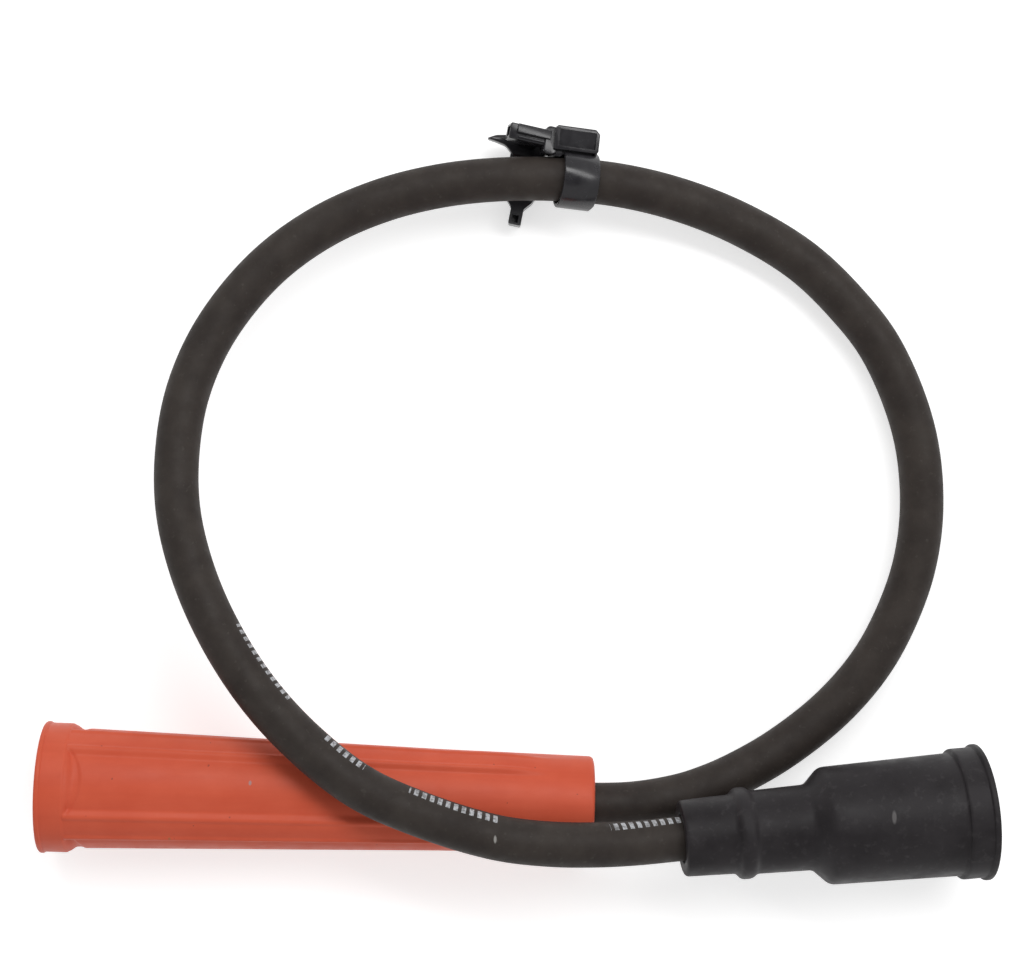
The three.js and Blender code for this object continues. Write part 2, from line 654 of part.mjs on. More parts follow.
function onAxis(frame, along) {
  return new THREE.Vector3(along, 0, 0).applyMatrix4(frame.matrixWorld);
}

// The assembly
const plugFrame = bootFrame(
  PLUG_MOUTH_PLACE, PLUG_BOOT_YAW, plugBootFall(), PLUG_LIP_RADIUS, PLUG_LIP_LENGTH,
);
const capFrame = bootFrame(
  CAP_MOUTH_PLACE, CAP_BOOT_YAW, degrees(-CAP_BOOT_RISE), CAP_LIP_RADIUS, CAP_LIP_LENGTH,
);
const plugCableStart = PLUG_TERMINAL_AT + terminalLength() - BARREL_LENGTH + TOUCH_GAP;
const capCableStart = CAP_TERMINAL_AT + terminalLength() - BARREL_LENGTH + TOUCH_GAP;

// The cable's middle line: straight on each boot's axis, free between them
function cableCurve() {
  const points = [
    onAxis(plugFrame, plugCableStart),
    onAxis(plugFrame, (plugCableStart + PLUG_BOOT_LENGTH) / 2),
    onAxis(plugFrame, PLUG_BOOT_LENGTH - CABLE_STRAIGHT_END),
    onAxis(plugFrame, PLUG_BOOT_LENGTH),
    ...CABLE_ROUTE.map((place) => new THREE.Vector3(...place)),
    onAxis(capFrame, CAP_BOOT_LENGTH),
    onAxis(capFrame, CAP_BOOT_LENGTH - CABLE_STRAIGHT_END),
    onAxis(capFrame, capCableStart),
  ];
  return new THREE.CatmullRomCurve3(points, false, 'centripetal');
}

const cable = pieceOf(
  'ignition_cable', wireAlong(cableCurve(), CABLE_RADIUS, CABLE_SIDES, CABLE_STEPS), greyJacket,
);

// A terminal with its spring and the conductor in its neck, in a boot's frame
function addTerminal(frame, name, along) {
  const terminal = pieceOf(`${name}_terminal`, socketTerminal(), platedSteel);
  terminal.position.x = along;
  const spring = pieceOf(`${name}_terminal_spring`, terminalSpring(), springSteel);
  spring.position.x = along;
  const conductor = pieceOf(`${name}_core`, core(), coreFibre);
  conductor.position.x = along + terminalLength() - BARREL_LENGTH - CORE_BARE_LENGTH;
  frame.add(terminal, spring, conductor);
}

plugFrame.add(pieceOf('plug_boot', plugBoot(), orangeSilicone));
addTerminal(plugFrame, 'plug', PLUG_TERMINAL_AT);
capFrame.add(pieceOf('cap_boot', capBoot(), blackRubber));
addTerminal(capFrame, 'cap', CAP_TERMINAL_AT);

const clip = pieceOf('wire_clip', wireClip(), blackNylon);
clip.position.set(...CLIP_PLACE);
clip.rotation.set(0, degrees(CLIP_PITCH), degrees(CLIP_YAW), 'ZYX');

const sparkPlugWire = new THREE.Group();
sparkPlugWire.add(plugFrame, capFrame, clip);
const carried = new THREE.Box3().setFromObject(sparkPlugWire, true);
const middle = carried.getCenter(new THREE.Vector3());
sparkPlugWire.add(cable);
sparkPlugWire.position.set(-middle.x, -middle.y, -carried.min.z);

export default sparkPlugWire;
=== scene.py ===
# %% [markdown]
# # A spark plug wire, dressed over its frame
# The wire lies flat on a bench in one loop: a thick grey-black ignition cable, a long orange
# silicone boot for the spark plug, a short black rubber boot for the distributor cap, and a
# glossy nylon clip that holds the cable to the engine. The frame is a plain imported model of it.
# We load the frame first, and every finer piece that follows stands where the frame's own is.

# %% Load the frame
import bisect
import math
import bmesh
import bpy
from mathutils import Matrix, Vector


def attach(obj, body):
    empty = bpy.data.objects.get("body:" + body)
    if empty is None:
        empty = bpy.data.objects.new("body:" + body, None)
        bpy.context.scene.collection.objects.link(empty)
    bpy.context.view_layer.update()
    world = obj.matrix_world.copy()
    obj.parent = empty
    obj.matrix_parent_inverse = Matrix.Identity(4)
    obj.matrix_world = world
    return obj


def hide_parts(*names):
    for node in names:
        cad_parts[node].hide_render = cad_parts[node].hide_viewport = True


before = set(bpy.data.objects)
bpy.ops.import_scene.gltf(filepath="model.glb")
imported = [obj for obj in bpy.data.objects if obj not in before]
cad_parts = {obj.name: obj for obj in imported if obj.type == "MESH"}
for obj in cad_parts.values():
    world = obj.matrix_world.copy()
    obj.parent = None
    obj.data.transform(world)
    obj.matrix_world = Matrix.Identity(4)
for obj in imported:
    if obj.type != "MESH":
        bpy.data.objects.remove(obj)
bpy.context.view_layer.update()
MM = 0.001

# %% [markdown]
# ## The camera
# A product photograph of a flat thing is taken from straight above. We hang the camera over the
# middle of the loop and choose the lens so that the loop fills the picture as it did there. A
# camera with no rotation already looks down along -Z, with +Y at the top of the picture.

# %% Hang the camera
CAMERA_PLACE = (-0.0009, 0.0028, 0.430)
PICTURE_WIDTH = 1020
FOCAL_PIXELS = 2300
SENSOR_WIDTH = 36

camera_data = bpy.data.cameras.new("overhead_camera")
camera_data.sensor_width = SENSOR_WIDTH
camera_data.lens = SENSOR_WIDTH * FOCAL_PIXELS / PICTURE_WIDTH
camera_data.clip_end = 10
overhead_camera = bpy.data.objects.new("overhead_camera", camera_data)
overhead_camera.location = CAMERA_PLACE
bpy.context.scene.collection.objects.link(overhead_camera)
bpy.context.scene.camera = overhead_camera
bpy.context.scene.view_settings.view_transform = "Standard"
print("lens", round(camera_data.lens, 2), "mm")

# %% [markdown]
# ## Two boot axes
# Each boot is a turned shape, so all of it can be described by two numbers: how far along the
# axis, and how far round. A matrix then carries those numbers from the boot's own axes, with X
# running from the mouth to the cable end, to the bench. The plug boot tips by a degree or two,
# so that its wide lip and its thin end both touch the bench; the cap boot is lifted by the cable.

# %% Place the boot axes
MODEL_SHIFT = Vector((0.003, 0.458, 0.021))
PLUG_BOOT_LENGTH = 99.8
PLUG_LIP_RADIUS = 11.9
PLUG_END_RADIUS = 8.8
CAP_BOOT_LENGTH = 55.3
CAP_LIP_RADIUS = 12.3
LIP_LENGTH = 1


def boot_axis(mouth_x, mouth_y, yaw, fall, lip_radius):
    """The matrix from a boot's own axes to the bench, with the lip resting on the bench."""
    height = lip_radius * math.cos(fall) + LIP_LENGTH / 2 * math.sin(fall)
    place = Vector((mouth_x, mouth_y, height)) + MODEL_SHIFT
    turn = Matrix.Rotation(math.radians(yaw), 4, "Z") @ Matrix.Rotation(fall, 4, "Y")
    return Matrix.Translation(place * MM) @ turn


plug_fall = math.atan((PLUG_LIP_RADIUS - PLUG_END_RADIUS) / (PLUG_BOOT_LENGTH - LIP_LENGTH / 2))
plug_axis = boot_axis(-85.6, -52.3, -2.13, plug_fall, PLUG_LIP_RADIUS)
cap_axis = boot_axis(84.8, -56.8, 184.36, math.radians(-4.8), CAP_LIP_RADIUS)
print("the plug boot falls by", round(math.degrees(plug_fall), 2), "degrees")

# %% [markdown]
# ## The cable's route
# A stiff cable lies in wide, even curves. The route is a list of places that the cable passes
# through. A centripetal Catmull-Rom curve runs through every place without the small loops that
# other curves make where places are close together. It is written out here so
# that it follows the same path as the frame's own cable.

# %% Lay the route
CABLE_DIAMETER = 8
CABLE_START_AT = 56.1
CAP_CABLE_START_AT = 35.1
CABLE_ROUTE = [
    (22.1, -55.8, 8.35), (30.4, -54.5, 7.4), (36.0, -52.8, 6.6), (41.6, -50.4, 5.8),
    (49.1, -46.2, 4.95), (58.2, -39.2, 4.4), (64.9, -31.8, 4.25), (69.4, -24.4, 4.2),
    (73.7, -13.2, 4.2), (75.3, -1.2, 4.2), (73.8, 12.7, 4.2), (67.9, 27.5, 4.2),
    (61.1, 36.4, 4.25), (52.8, 44.2, 4.35), (41.6, 50.8, 4.8), (30.4, 55.1, 5.8),
    (19.3, 57.6, 7.2), (8.3, 58.5, 8.7), (-2.7, 58.4, 9.4), (-13.7, 57.2, 9.5),
    (-24.7, 54.4, 9.5), (-35.7, 49.4, 9.8), (-45.7, 41.8, 10.5), (-54.4, 30.7, 11.9),
    (-59.1, 19.7, 13.7), (-60.8, 8.8, 15.7), (-60.4, -2.0, 17.7), (-57.6, -12.7, 19.6),
    (-52.8, -23.3, 21.3), (-46.0, -33.7, 22.8), (-38.0, -42.4, 23.8), (-27.6, -50.6, 24.4),
    (-17.2, -55.4, 24.3), (-3.5, -59.8, 23.2), (6.2, -61.2, 21.9), (15.2, -61.6, 20.1),
    (22.3, -61.5, 18.3),
]


def on_axis(axis, along):
    """A point on a boot's axis, that many mm from its mouth."""
    return axis @ Vector((along * MM, 0, 0))


def centripetal(points, steps):
    """Points along a centripetal Catmull-Rom curve, with that many steps between two places."""
    places = [2 * points[0] - points[1], *points, 2 * points[-1] - points[-2]]
    line = []
    for a, b, c, d in zip(places, places[1:], places[2:], places[3:]):
        before, here, after = [math.sqrt((q - p).length) for p, q in ((a, b), (b, c), (c, d))]
        leaving = ((b - a) / before - (c - a) / (before + here) + (c - b) / here) * here
        arriving = ((c - b) / here - (d - b) / (here + after) + (d - c) / after) * here
        for step in range(steps):
            t = step / steps
            curl = 2 * b - 2 * c + leaving + arriving
            bow = -3 * b + 3 * c - 2 * leaving - arriving
            line.append(b + leaving * t + bow * t ** 2 + curl * t ** 3)
    return [*line, points[-1]]


def even_steps(line, spacing):
    """The same line with points an even distance apart, and its length."""
    reach = [0]
    for a, b in zip(line, line[1:]):
        reach.append(reach[-1] + (b - a).length)
    count = round(reach[-1] / spacing)
    even = []
    for step in range(count + 1):
        want = reach[-1] * step / count
        i = min(bisect.bisect_right(reach, want), len(line) - 1)
        share = (want - reach[i - 1]) / (reach[i] - reach[i - 1])
        even.append(line[i - 1].lerp(line[i], share))
    return even, reach[-1]


route = [on_axis(plug_axis, along) for along in
         (CABLE_START_AT, (CABLE_START_AT + PLUG_BOOT_LENGTH) / 2, PLUG_BOOT_LENGTH - 8, PLUG_BOOT_LENGTH)]
route += [(Vector(place) + MODEL_SHIFT) * MM for place in CABLE_ROUTE]
route += [on_axis(cap_axis, along) for along in
          (CAP_BOOT_LENGTH, CAP_BOOT_LENGTH - 8, CAP_CABLE_START_AT)]
cable_line, cable_length = even_steps(centripetal(route, 16), 1.2 * MM)
print("cable length", round(cable_length / MM, 1), "mm in", len(cable_line), "rings")

# %% [markdown]
# ## From numbers to a mesh
# Almost everything here is a skin through rings of points, and bmesh builds it face by face.
# The first helper turns a finished bmesh into an object: it welds doubled points, turns all
# faces outwards, and shades them smooth up to an angle, so that only real edges stay sharp. The
# second builds the skin, and can close its ends and write UVs. Stretching a cylinder from
# Blender's menu would be quicker, but every shape here changes its radius as it goes.

# %% Helpers for meshes
WELD_DISTANCE = 1e-7
SHARP_ANGLE = 38


def piece(name, mesh_builder, place=None, sharp_angle=SHARP_ANGLE):
    """An object made from a bmesh, smooth-shaded up to an angle, and placed by a matrix."""
    mesh = bpy.data.meshes.new(name)
    if place:
        mesh_builder.transform(place)
    bmesh.ops.remove_doubles(mesh_builder, verts=mesh_builder.verts, dist=WELD_DISTANCE)
    bmesh.ops.recalc_face_normals(mesh_builder, faces=mesh_builder.faces)
    mesh_builder.to_mesh(mesh)
    mesh_builder.free()
    mesh.shade_smooth()
    mesh.set_sharp_from_angle(angle=math.radians(sharp_angle))
    made = bpy.data.objects.new(name, mesh)
    bpy.context.scene.collection.objects.link(made)
    return made


def skin(rings, closed_ends=True, uv_of=None, wrap=True):
    """A mesh through rings of points. uv_of gives the UV of ring i and column k."""
    builder = bmesh.new()
    layer = builder.loops.layers.uv.new("surface") if uv_of else None
    corners = [[builder.verts.new(point) for point in ring] for ring in rings]
    count = len(rings[0])
    for i in range(len(rings) - 1):
        for k in range(count if wrap else count - 1):
            n = (k + 1) % count
            face = builder.faces.new((corners[i][k], corners[i][n], corners[i + 1][n], corners[i + 1][k]))
            if layer:
                places = ((i, k), (i, k + 1), (i + 1, k + 1), (i + 1, k))
                for loop, (ring, column) in zip(face.loops, places):
                    loop[layer].uv = uv_of(ring, column)
    if closed_ends:
        builder.faces.new(list(reversed(corners[0])))
        builder.faces.new(corners[-1])
    return builder


print("mesh helpers are ready")

# %% [markdown]
# ## The cable itself
# The jacket is extruded rubber, so its section is a plain circle everywhere, and the mesh is a
# tube: one ring of points every 1.2 mm along the route. The printed marks run in a line that
# wanders slowly round the jacket, as the cable twists when it is bent. We start each ring on that
# line, so that the first column of the mesh carries the marks, and we keep two numbers for each
# point as UVs: the distance along the cable and the turn round it. A curve with a round bevel
# would be quicker, but it can't start its rings on such a line.

# %% Build the cable
CABLE_SIDES = 48
MARK_TURNS = [
    (0, 90), (330, 88), (366, 78), (384, 76), (397, 66), (413, 67), (428, 62), (449, 61),
    (463, 68), (484, 70),
]


def between(pairs, x):
    """A value read from a list of (place, value) pairs, with straight lines between them."""
    for (x0, y0), (x1, y1) in zip(pairs, pairs[1:]):
        if x <= x1:
            return y0 + (y1 - y0) * max(0, x - x0) / (x1 - x0)
    return pairs[-1][1]


def cable_rings(line, radius, sides):
    """Rings round a line, each starting on the line of printed marks."""
    rings = []
    for i, centre in enumerate(line):
        ahead = (line[min(i + 1, len(line) - 1)] - line[max(i - 1, 0)]).normalized()
        top = (Vector((0, 0, 1)) - ahead * ahead.z).normalized()
        left = top.cross(ahead)
        start = math.radians(between(MARK_TURNS, cable_length / MM * i / (len(line) - 1)))
        ring = []
        for k in range(sides):
            turn = start + 2 * math.pi * k / sides
            ring.append(centre + radius * (math.cos(turn) * top + math.sin(turn) * left))
        rings.append(ring)
    return rings


def cable_uv(ring, column):
    """Along the cable from 0 to 1, and once round it from the line of marks."""
    return ring / (len(cable_line) - 1), column / CABLE_SIDES


jacket_rings = cable_rings(cable_line, CABLE_DIAMETER / 2 * MM, CABLE_SIDES)
ignition_cable = piece("cable", skin(jacket_rings, uv_of=cable_uv))
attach(ignition_cable, "root")
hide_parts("ignition_cable")
print("cable faces:", len(ignition_cable.data.polygons))

# %% [markdown]
# ## The plug boot's shape
# The plug boot is one long moulding of orange silicone. A collar with a thin lip stands at its
# mouth. Behind it four shallow flutes run down the body, each between two raised lands, and each
# starts in a scooped wall under the collar's rounded edge. A land has a fine bead along both its
# edges, and it fades out before the round cable end. A lathe can't cut flutes, so we write the
# radius as a function of the distance along the axis and the turn round it, and draw a fine
# skin through its rings.

# %% Describe the plug boot's outside
COLLAR_RADIUS = 11.65
COLLAR_LENGTH = 5.1
COLLAR_ROUNDING = 0.5
COLLAR_DROP = 0.22
LIP_DROP = 0.25
END_ROUNDING = 0.9
END_DROP = 0.8
FLUTE_START_RADIUS = 10.85
FLUTE_WAIST_RADIUS = 9.2
FLUTE_WAIST_AT = 72
LAND_HEIGHT = 0.6
LAND_MIDDLE = 31.5
LAND_HALF_ANGLE = 12
LAND_FLANK_ANGLE = 7
LAND_EDGE_BEAD = 0.2
BEAD_ANGLE = 4
LAND_SPACING = 90
SCOOP_SHORT = 0.9
SCOOP_LONG = 2.4
SCOOP_DEPTH = 0.26
LAND_FADE = (82, 94)


def smooth(share):
    """A soft step from 0 to 1, level at both ends."""
    share = min(1, max(0, share))
    return share * share * (3 - 2 * share)


def rounding(along, start, size, radius):
    """A quarter-round edge: how far the radius has dropped after the start."""
    share = min(1, max(0, (along - start) / size))
    return radius * (1 - math.sqrt(1 - share * share))


def flute_floor(along):
    """The radius in mm at the bottom of a flute."""
    start = COLLAR_LENGTH + SCOOP_SHORT
    return between([(start, FLUTE_START_RADIUS), (FLUTE_WAIST_AT, FLUTE_WAIST_RADIUS),
                    (PLUG_BOOT_LENGTH, PLUG_END_RADIUS)], max(start, along))


def plug_outside(along, angle):
    """The plug boot's outside radius in mm, at a place along its axis and an angle in degrees."""
    if along < LIP_LENGTH:
        middle = abs(along / LIP_LENGTH - 0.5) * 2
        return PLUG_LIP_RADIUS - LIP_DROP * middle ** 3
    if along < COLLAR_LENGTH:
        edge_at = COLLAR_LENGTH - COLLAR_ROUNDING
        return COLLAR_RADIUS - rounding(along, edge_at, COLLAR_ROUNDING, COLLAR_DROP)
    half_way = LAND_SPACING / 2
    away = abs((angle - LAND_MIDDLE + half_way) % LAND_SPACING - half_way)
    land = 1 - smooth((away - LAND_HALF_ANGLE) / LAND_FLANK_ANGLE)
    fade = 1 - smooth((along - LAND_FADE[0]) / (LAND_FADE[1] - LAND_FADE[0]))
    bead_rise = smooth((away - LAND_HALF_ANGLE + BEAD_ANGLE) / (BEAD_ANGLE * 0.7))
    bead = LAND_EDGE_BEAD * bead_rise * land
    body = flute_floor(along) + (LAND_HEIGHT * land + bead) * fade
    across = max(0, (away - LAND_HALF_ANGLE) / (half_way - LAND_HALF_ANGLE))
    scoop = SCOOP_SHORT + SCOOP_LONG * (1 - (1 - across) ** 2) * (1 - land)
    share = (along - COLLAR_LENGTH) / scoop
    wall = max(0, COLLAR_RADIUS - COLLAR_DROP - body) * (1 - smooth(share / 0.55))
    hollow = SCOOP_DEPTH * (1 - land) * smooth(share / 0.5) * (1 - smooth((share - 0.72) / 0.28))
    return body + wall - hollow - rounding(along, PLUG_BOOT_LENGTH - END_ROUNDING, END_ROUNDING, END_DROP)


print("flute floor at the mouth and the waist:", flute_floor(0), flute_floor(FLUTE_WAIST_AT))

# %% [markdown]
# ## A skin that turns inside out
# A boot is a tube, so its mesh has an outside and an inside. We list rings from the mouth along
# the outside to the cable end, then back along the bore to the mouth, and join the last ring to
# the first. That closes the rubber's whole section. Inside the plug boot there is a belled
# mouth, an entry for the plug's hexagon, three sealing ribs for its insulator, a pocket for
# the terminal and the bore for the cable. The rings lie close together only where the shape
# changes quickly.

# %% Build the plug boot
BORE_RADIUS = 4.3
POCKET_RADIUS = 5.1
SEAL_RADIUS = 5.5
SEAL_RIBS = (17, 21, 25)
SEAL_RIB_HALF_WIDTH = 0.9
SEAL_RIB_HEIGHT = 0.3
BOOT_COLUMNS = 288


def stations(*spans):
    """Places along an axis, from (start, end, spacing) spans."""
    places = []
    for start, end, spacing in spans:
        count = max(1, round(abs(end - start) / spacing))
        places += [start + (end - start) * step / count for step in range(count)]
    return [*places, spans[-1][1]]


def turned_ring(along, radius_of, columns):
    """A ring round the X axis, in metres. radius_of gives the radius in mm at an angle."""
    ring = []
    for k in range(columns):
        angle = 360 * k / columns
        turn = math.radians(angle)
        radius = radius_of(angle)
        ring.append(Vector((along, radius * math.cos(turn), radius * math.sin(turn))) * MM)
    return ring


def tube_skin(outside, inside, columns):
    """A closed tube from outside rings and inside (place, radius) pairs, mouth first in both."""
    rings = outside + [turned_ring(along, lambda angle, r=radius: r, columns)
                       for along, radius in reversed(inside)]
    return skin([*rings, rings[0]], closed_ends=False)


def rib_bump(along, middle, half, height):
    """A smooth rib: its height at a place along the axis."""
    away = abs(along - middle) / half
    return height * (1 - smooth(away)) if away < 1 else 0


def seal_bore(along):
    """The radius of the ribbed seal in the plug boot."""
    ribs = [rib_bump(along, rib, SEAL_RIB_HALF_WIDTH, SEAL_RIB_HEIGHT) for rib in SEAL_RIBS]
    return SEAL_RADIUS - sum(ribs)


plug_places = stations(
    (0, 1, 0.14), (1, 3.8, 0.7), (3.8, 10, 0.16), (10, 98.6, 0.9), (98.6, PLUG_BOOT_LENGTH, 0.15),
)
plug_outside_rings = [
    turned_ring(along, lambda angle, t=along: plug_outside(t, angle), BOOT_COLUMNS)
    for along in plug_places
]
plug_bore = [(0, 8.3), (0.15, 8.0), (0.5, 7.7), (1.5, 7.1), (6, 7.0), (11.6, 6.9), (12.3, 6.6)]
plug_bore += [(13.5, SEAL_RADIUS)]
plug_bore += [(along, seal_bore(along)) for along in stations((15, 27, 0.25))]
plug_bore += [(50.6, SEAL_RADIUS), (51.4, 5.2), (52, POCKET_RADIUS), (65.1, POCKET_RADIUS), (65.5, 4.5),
              (65.8, BORE_RADIUS), (82, BORE_RADIUS), (99.2, BORE_RADIUS), (PLUG_BOOT_LENGTH, 4.6)]
plug_skin = tube_skin(plug_outside_rings, plug_bore, BOOT_COLUMNS)
plug_boot = piece("plug_boot_moulding", plug_skin, plug_axis)
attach(plug_boot, "root")
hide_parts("plug_boot")
print("plug boot faces:", len(plug_boot.data.polygons))

# %% [markdown]
# ## The cap boot's shape
# The cap boot is round all over, so one profile turned round its axis makes it. It is written as
# (place, radius) pairs. Sharp corners in rubber don't exist: every edge of the mould has a small
# radius, and those radii catch the light. So we round each corner of the profile by replacing it
# with a short arc, whose size stands beside the corner.

# %% Build the cap boot
CORNER_STEPS = 5
CAP_BOOT_COLUMNS = 128


def rounded(profile):
    """A profile of (place, radius, rounding) corners with each corner turned into a short arc."""
    points = []
    for i, (x, y, size) in enumerate(profile):
        here = Vector((x, y))
        if size == 0 or i in (0, len(profile) - 1):
            points.append(here)
            continue
        before, after = (Vector(profile[i + step][:2]) for step in (-1, 1))
        start = here + (before - here).normalized() * min(size, (before - here).length / 2)
        end = here + (after - here).normalized() * min(size, (after - here).length / 2)
        for step in range(CORNER_STEPS + 1):
            t = step / CORNER_STEPS
            points.append(start * (1 - t) ** 2 + here * 2 * t * (1 - t) + end * t ** 2)
    return points


def subdivided(points, spacing):
    """The same profile with no gap longer than the spacing."""
    fine = []
    for a, b in zip(points, points[1:]):
        count = max(1, math.ceil((b - a).length / spacing))
        fine += [a.lerp(b, step / count) for step in range(count)]
    return [*fine, points[-1]]


cap_outside = rounded([
    (0, 9.9, 0), (0, CAP_LIP_RADIUS, 0.35), (1, CAP_LIP_RADIUS, 0.35), (1.15, 11.8, 0.2), (5.1, 11.8, 0.5),
    (5.35, 11.1, 0.3), (29.2, 10.55, 0.9), (32.1, 7.7, 0.7), (42.3, 7.45, 0.6), (43.2, 8.2, 0.7),
    (45.2, 8.2, 0.7), (46, 7.1, 0.6), (CAP_BOOT_LENGTH, 6.8, 0.8), (CAP_BOOT_LENGTH, 4.9, 0),
])
cap_bore = [
    (0.2, 9.3), (0.7, 8.9), (1.5, 8.5), (12, 8.5), (24.4, 8.5), (25.4, 8.2), (25.9, 7.5), (26, 5.8),
    (26.3, 5.3), (27, POCKET_RADIUS), (44.1, POCKET_RADIUS), (44.5, 4.5), (44.8, BORE_RADIUS),
    (54.8, BORE_RADIUS), (55.2, 4.5),
]
cap_outside_rings = [
    turned_ring(place.x, lambda angle, r=place.y: r, CAP_BOOT_COLUMNS)
    for place in subdivided(cap_outside, 1.2)
]
cap_skin = tube_skin(cap_outside_rings, cap_bore, CAP_BOOT_COLUMNS)
cap_boot = piece("cap_boot_moulding", cap_skin, cap_axis)
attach(cap_boot, "root")
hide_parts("cap_boot")
print("cap boot faces:", len(cap_boot.data.polygons))

# %% [markdown]
# ## The terminals
# Inside each boot a sheet-steel terminal is crimped on the cable. Its flared socket snaps over
# a round nut, a narrow neck grips the bare core, and a barrel grips the jacket. It is rolled
# from flat sheet, so a thin seam runs along its top. A lathe would close that seam. We turn each
# ring only from one lip of the seam to the other, and then fill the two cut edges.

# %% Build the terminals
PLUG_TERMINAL_AT = 37
CAP_TERMINAL_AT = 16
TERMINAL_LENGTH = 27.8
SEAM_HALF_WIDTH = 0.35
TERMINAL_COLUMNS = 72


def seamed_ring(along, radius):
    """A ring from one side of the top seam round to the other."""
    gap = math.degrees(math.asin(SEAM_HALF_WIDTH / radius))
    ring = []
    for k in range(TERMINAL_COLUMNS + 1):
        turn = math.radians(90 + gap + (360 - 2 * gap) * k / TERMINAL_COLUMNS)
        ring.append(Vector((along, radius * math.cos(turn), radius * math.sin(turn))) * MM)
    return ring


def build_terminal(name, axis, along, node):
    """A rolled snap terminal on a boot's axis, its socket's lip that many mm from the mouth."""
    outside = rounded([
        (0, 4.15, 0), (0, 4.45, 0.1), (1, 4.1, 0.3), (3.9, 4.1, 0.2), (4.05, 3.95, 0.1), (4.95, 3.95, 0.1),
        (5.1, 4.1, 0.2), (12, 4.1, 0.6), (14, 2, 0.5), (17, 2, 0.4), (18.8, 4.8, 0.4), (20.9, 4.8, 0.2),
        (21.4, 4.6, 0.2), (21.9, 4.8, 0.2), (23, 4.8, 0.2), (23.5, 4.6, 0.2), (24, 4.8, 0.2),
        (27.7, 4.8, 0.1), (TERMINAL_LENGTH, 4.6, 0),
    ])
    inside = rounded([
        (0, 3.95, 0), (1, 3.6, 0.3), (11.5, 3.6, 0.5), (14, 1.5, 0.4), (17, 1.5, 0.3), (18.8, 4.3, 0.3),
        (TERMINAL_LENGTH, 4.35, 0),
    ])
    profile = outside + list(reversed(inside))
    rings = [seamed_ring(place.x, place.y) for place in profile]
    builder = skin([*rings, rings[0]], closed_ends=False, wrap=False)
    bmesh.ops.remove_doubles(builder, verts=builder.verts, dist=WELD_DISTANCE)
    edges = [edge for edge in builder.edges if edge.is_boundary]
    bmesh.ops.edgeloop_fill(builder, edges=edges)
    made = piece(name, builder, axis @ Matrix.Translation((along * MM, 0, 0)))
    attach(made, "root")
    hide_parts(node)
    return made


terminals = [
    build_terminal("plug_terminal_sheet", plug_axis, PLUG_TERMINAL_AT, "plug_terminal"),
    build_terminal("cap_terminal_sheet", cap_axis, CAP_TERMINAL_AT, "cap_terminal"),
]
print("terminal faces:", [len(made.data.polygons) for made in terminals])

# %% [markdown]
# ## Springs and cores
# A ring of spring wire lies in a groove round each socket and keeps it tight on its nut. The
# conductor is a bundle of carbon-filled strands, and it lies bare in the terminal's neck. Both
# are rods that follow a line: the spring's is an open arc with domed ends, and the core's is
# straight, with a section of small lobes that twist as they go.

# %% Build the springs and the cores
SPRING_AT = 4.5
SPRING_RADIUS = 4.75
SPRING_WIRE = 0.35
SPRING_OPENING = 70
CORE_RADIUS = 1.2
CORE_BARE_LENGTH = 5
CORE_STRANDS = 7
CORE_EDGE = 0.3
STRAND_DEPTH = 0.09
BARREL_LENGTH = 9
SPRING_STEPS = 64
SPRING_SIDES = 14
DOME_STEPS = 4


def build_spring(name, axis, along, node):
    """An open ring of wire with domed ends, in the groove of the terminal that starts there."""
    rings = []
    for step in range(-DOME_STEPS, SPRING_STEPS + DOME_STEPS + 1):
        share = min(SPRING_STEPS, max(0, step)) / SPRING_STEPS
        dome = max(0, -step, step - SPRING_STEPS) / DOME_STEPS
        wire = SPRING_WIRE * math.sqrt(max(0.02, 1 - dome ** 2))
        past = math.copysign(dome * SPRING_WIRE, step)
        turn = math.radians(90 + SPRING_OPENING / 2 + (360 - SPRING_OPENING) * share)
        turn += past / SPRING_RADIUS
        ring = []
        for k in range(SPRING_SIDES):
            around = 2 * math.pi * k / SPRING_SIDES
            radius = SPRING_RADIUS + wire * math.cos(around)
            x = SPRING_AT + wire * math.sin(around)
            ring.append(Vector((x, radius * math.cos(turn), radius * math.sin(turn))) * MM)
        rings.append(ring)
    made = piece(name, skin(rings), axis @ Matrix.Translation((along * MM, 0, 0)))
    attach(made, "root")
    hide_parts(node)
    return made


def build_core(name, axis, along, node):
    """The bare strands in the neck of the terminal that starts there."""
    start = along + TERMINAL_LENGTH - BARREL_LENGTH - CORE_BARE_LENGTH
    rings = []
    for place in stations((0, CORE_EDGE, 0.1), (CORE_EDGE, CORE_BARE_LENGTH, 0.2)):
        edge = CORE_RADIUS - max(0, CORE_EDGE - place) ** 2 * 2
        twist = 40 * place

        def strand(angle, edge=edge, twist=twist):
            lobe = abs(math.sin(math.radians(CORE_STRANDS * (angle + twist) / 2)))
            return edge - STRAND_DEPTH * (1 - lobe)

        rings.append(turned_ring(place, strand, 84))
    made = piece(name, skin(rings), axis @ Matrix.Translation((start * MM, 0, 0)), 60)
    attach(made, "root")
    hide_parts(node)
    return made


springs = [
    build_spring("plug_spring_wire", plug_axis, PLUG_TERMINAL_AT, "plug_terminal_spring"),
    build_spring("cap_spring_wire", cap_axis, CAP_TERMINAL_AT, "cap_terminal_spring"),
]
cores = [
    build_core("plug_core_strands", plug_axis, PLUG_TERMINAL_AT, "plug_core"),
    build_core("cap_core_strands", cap_axis, CAP_TERMINAL_AT, "cap_core"),
]
print("made", [made.name for made in springs + cores])

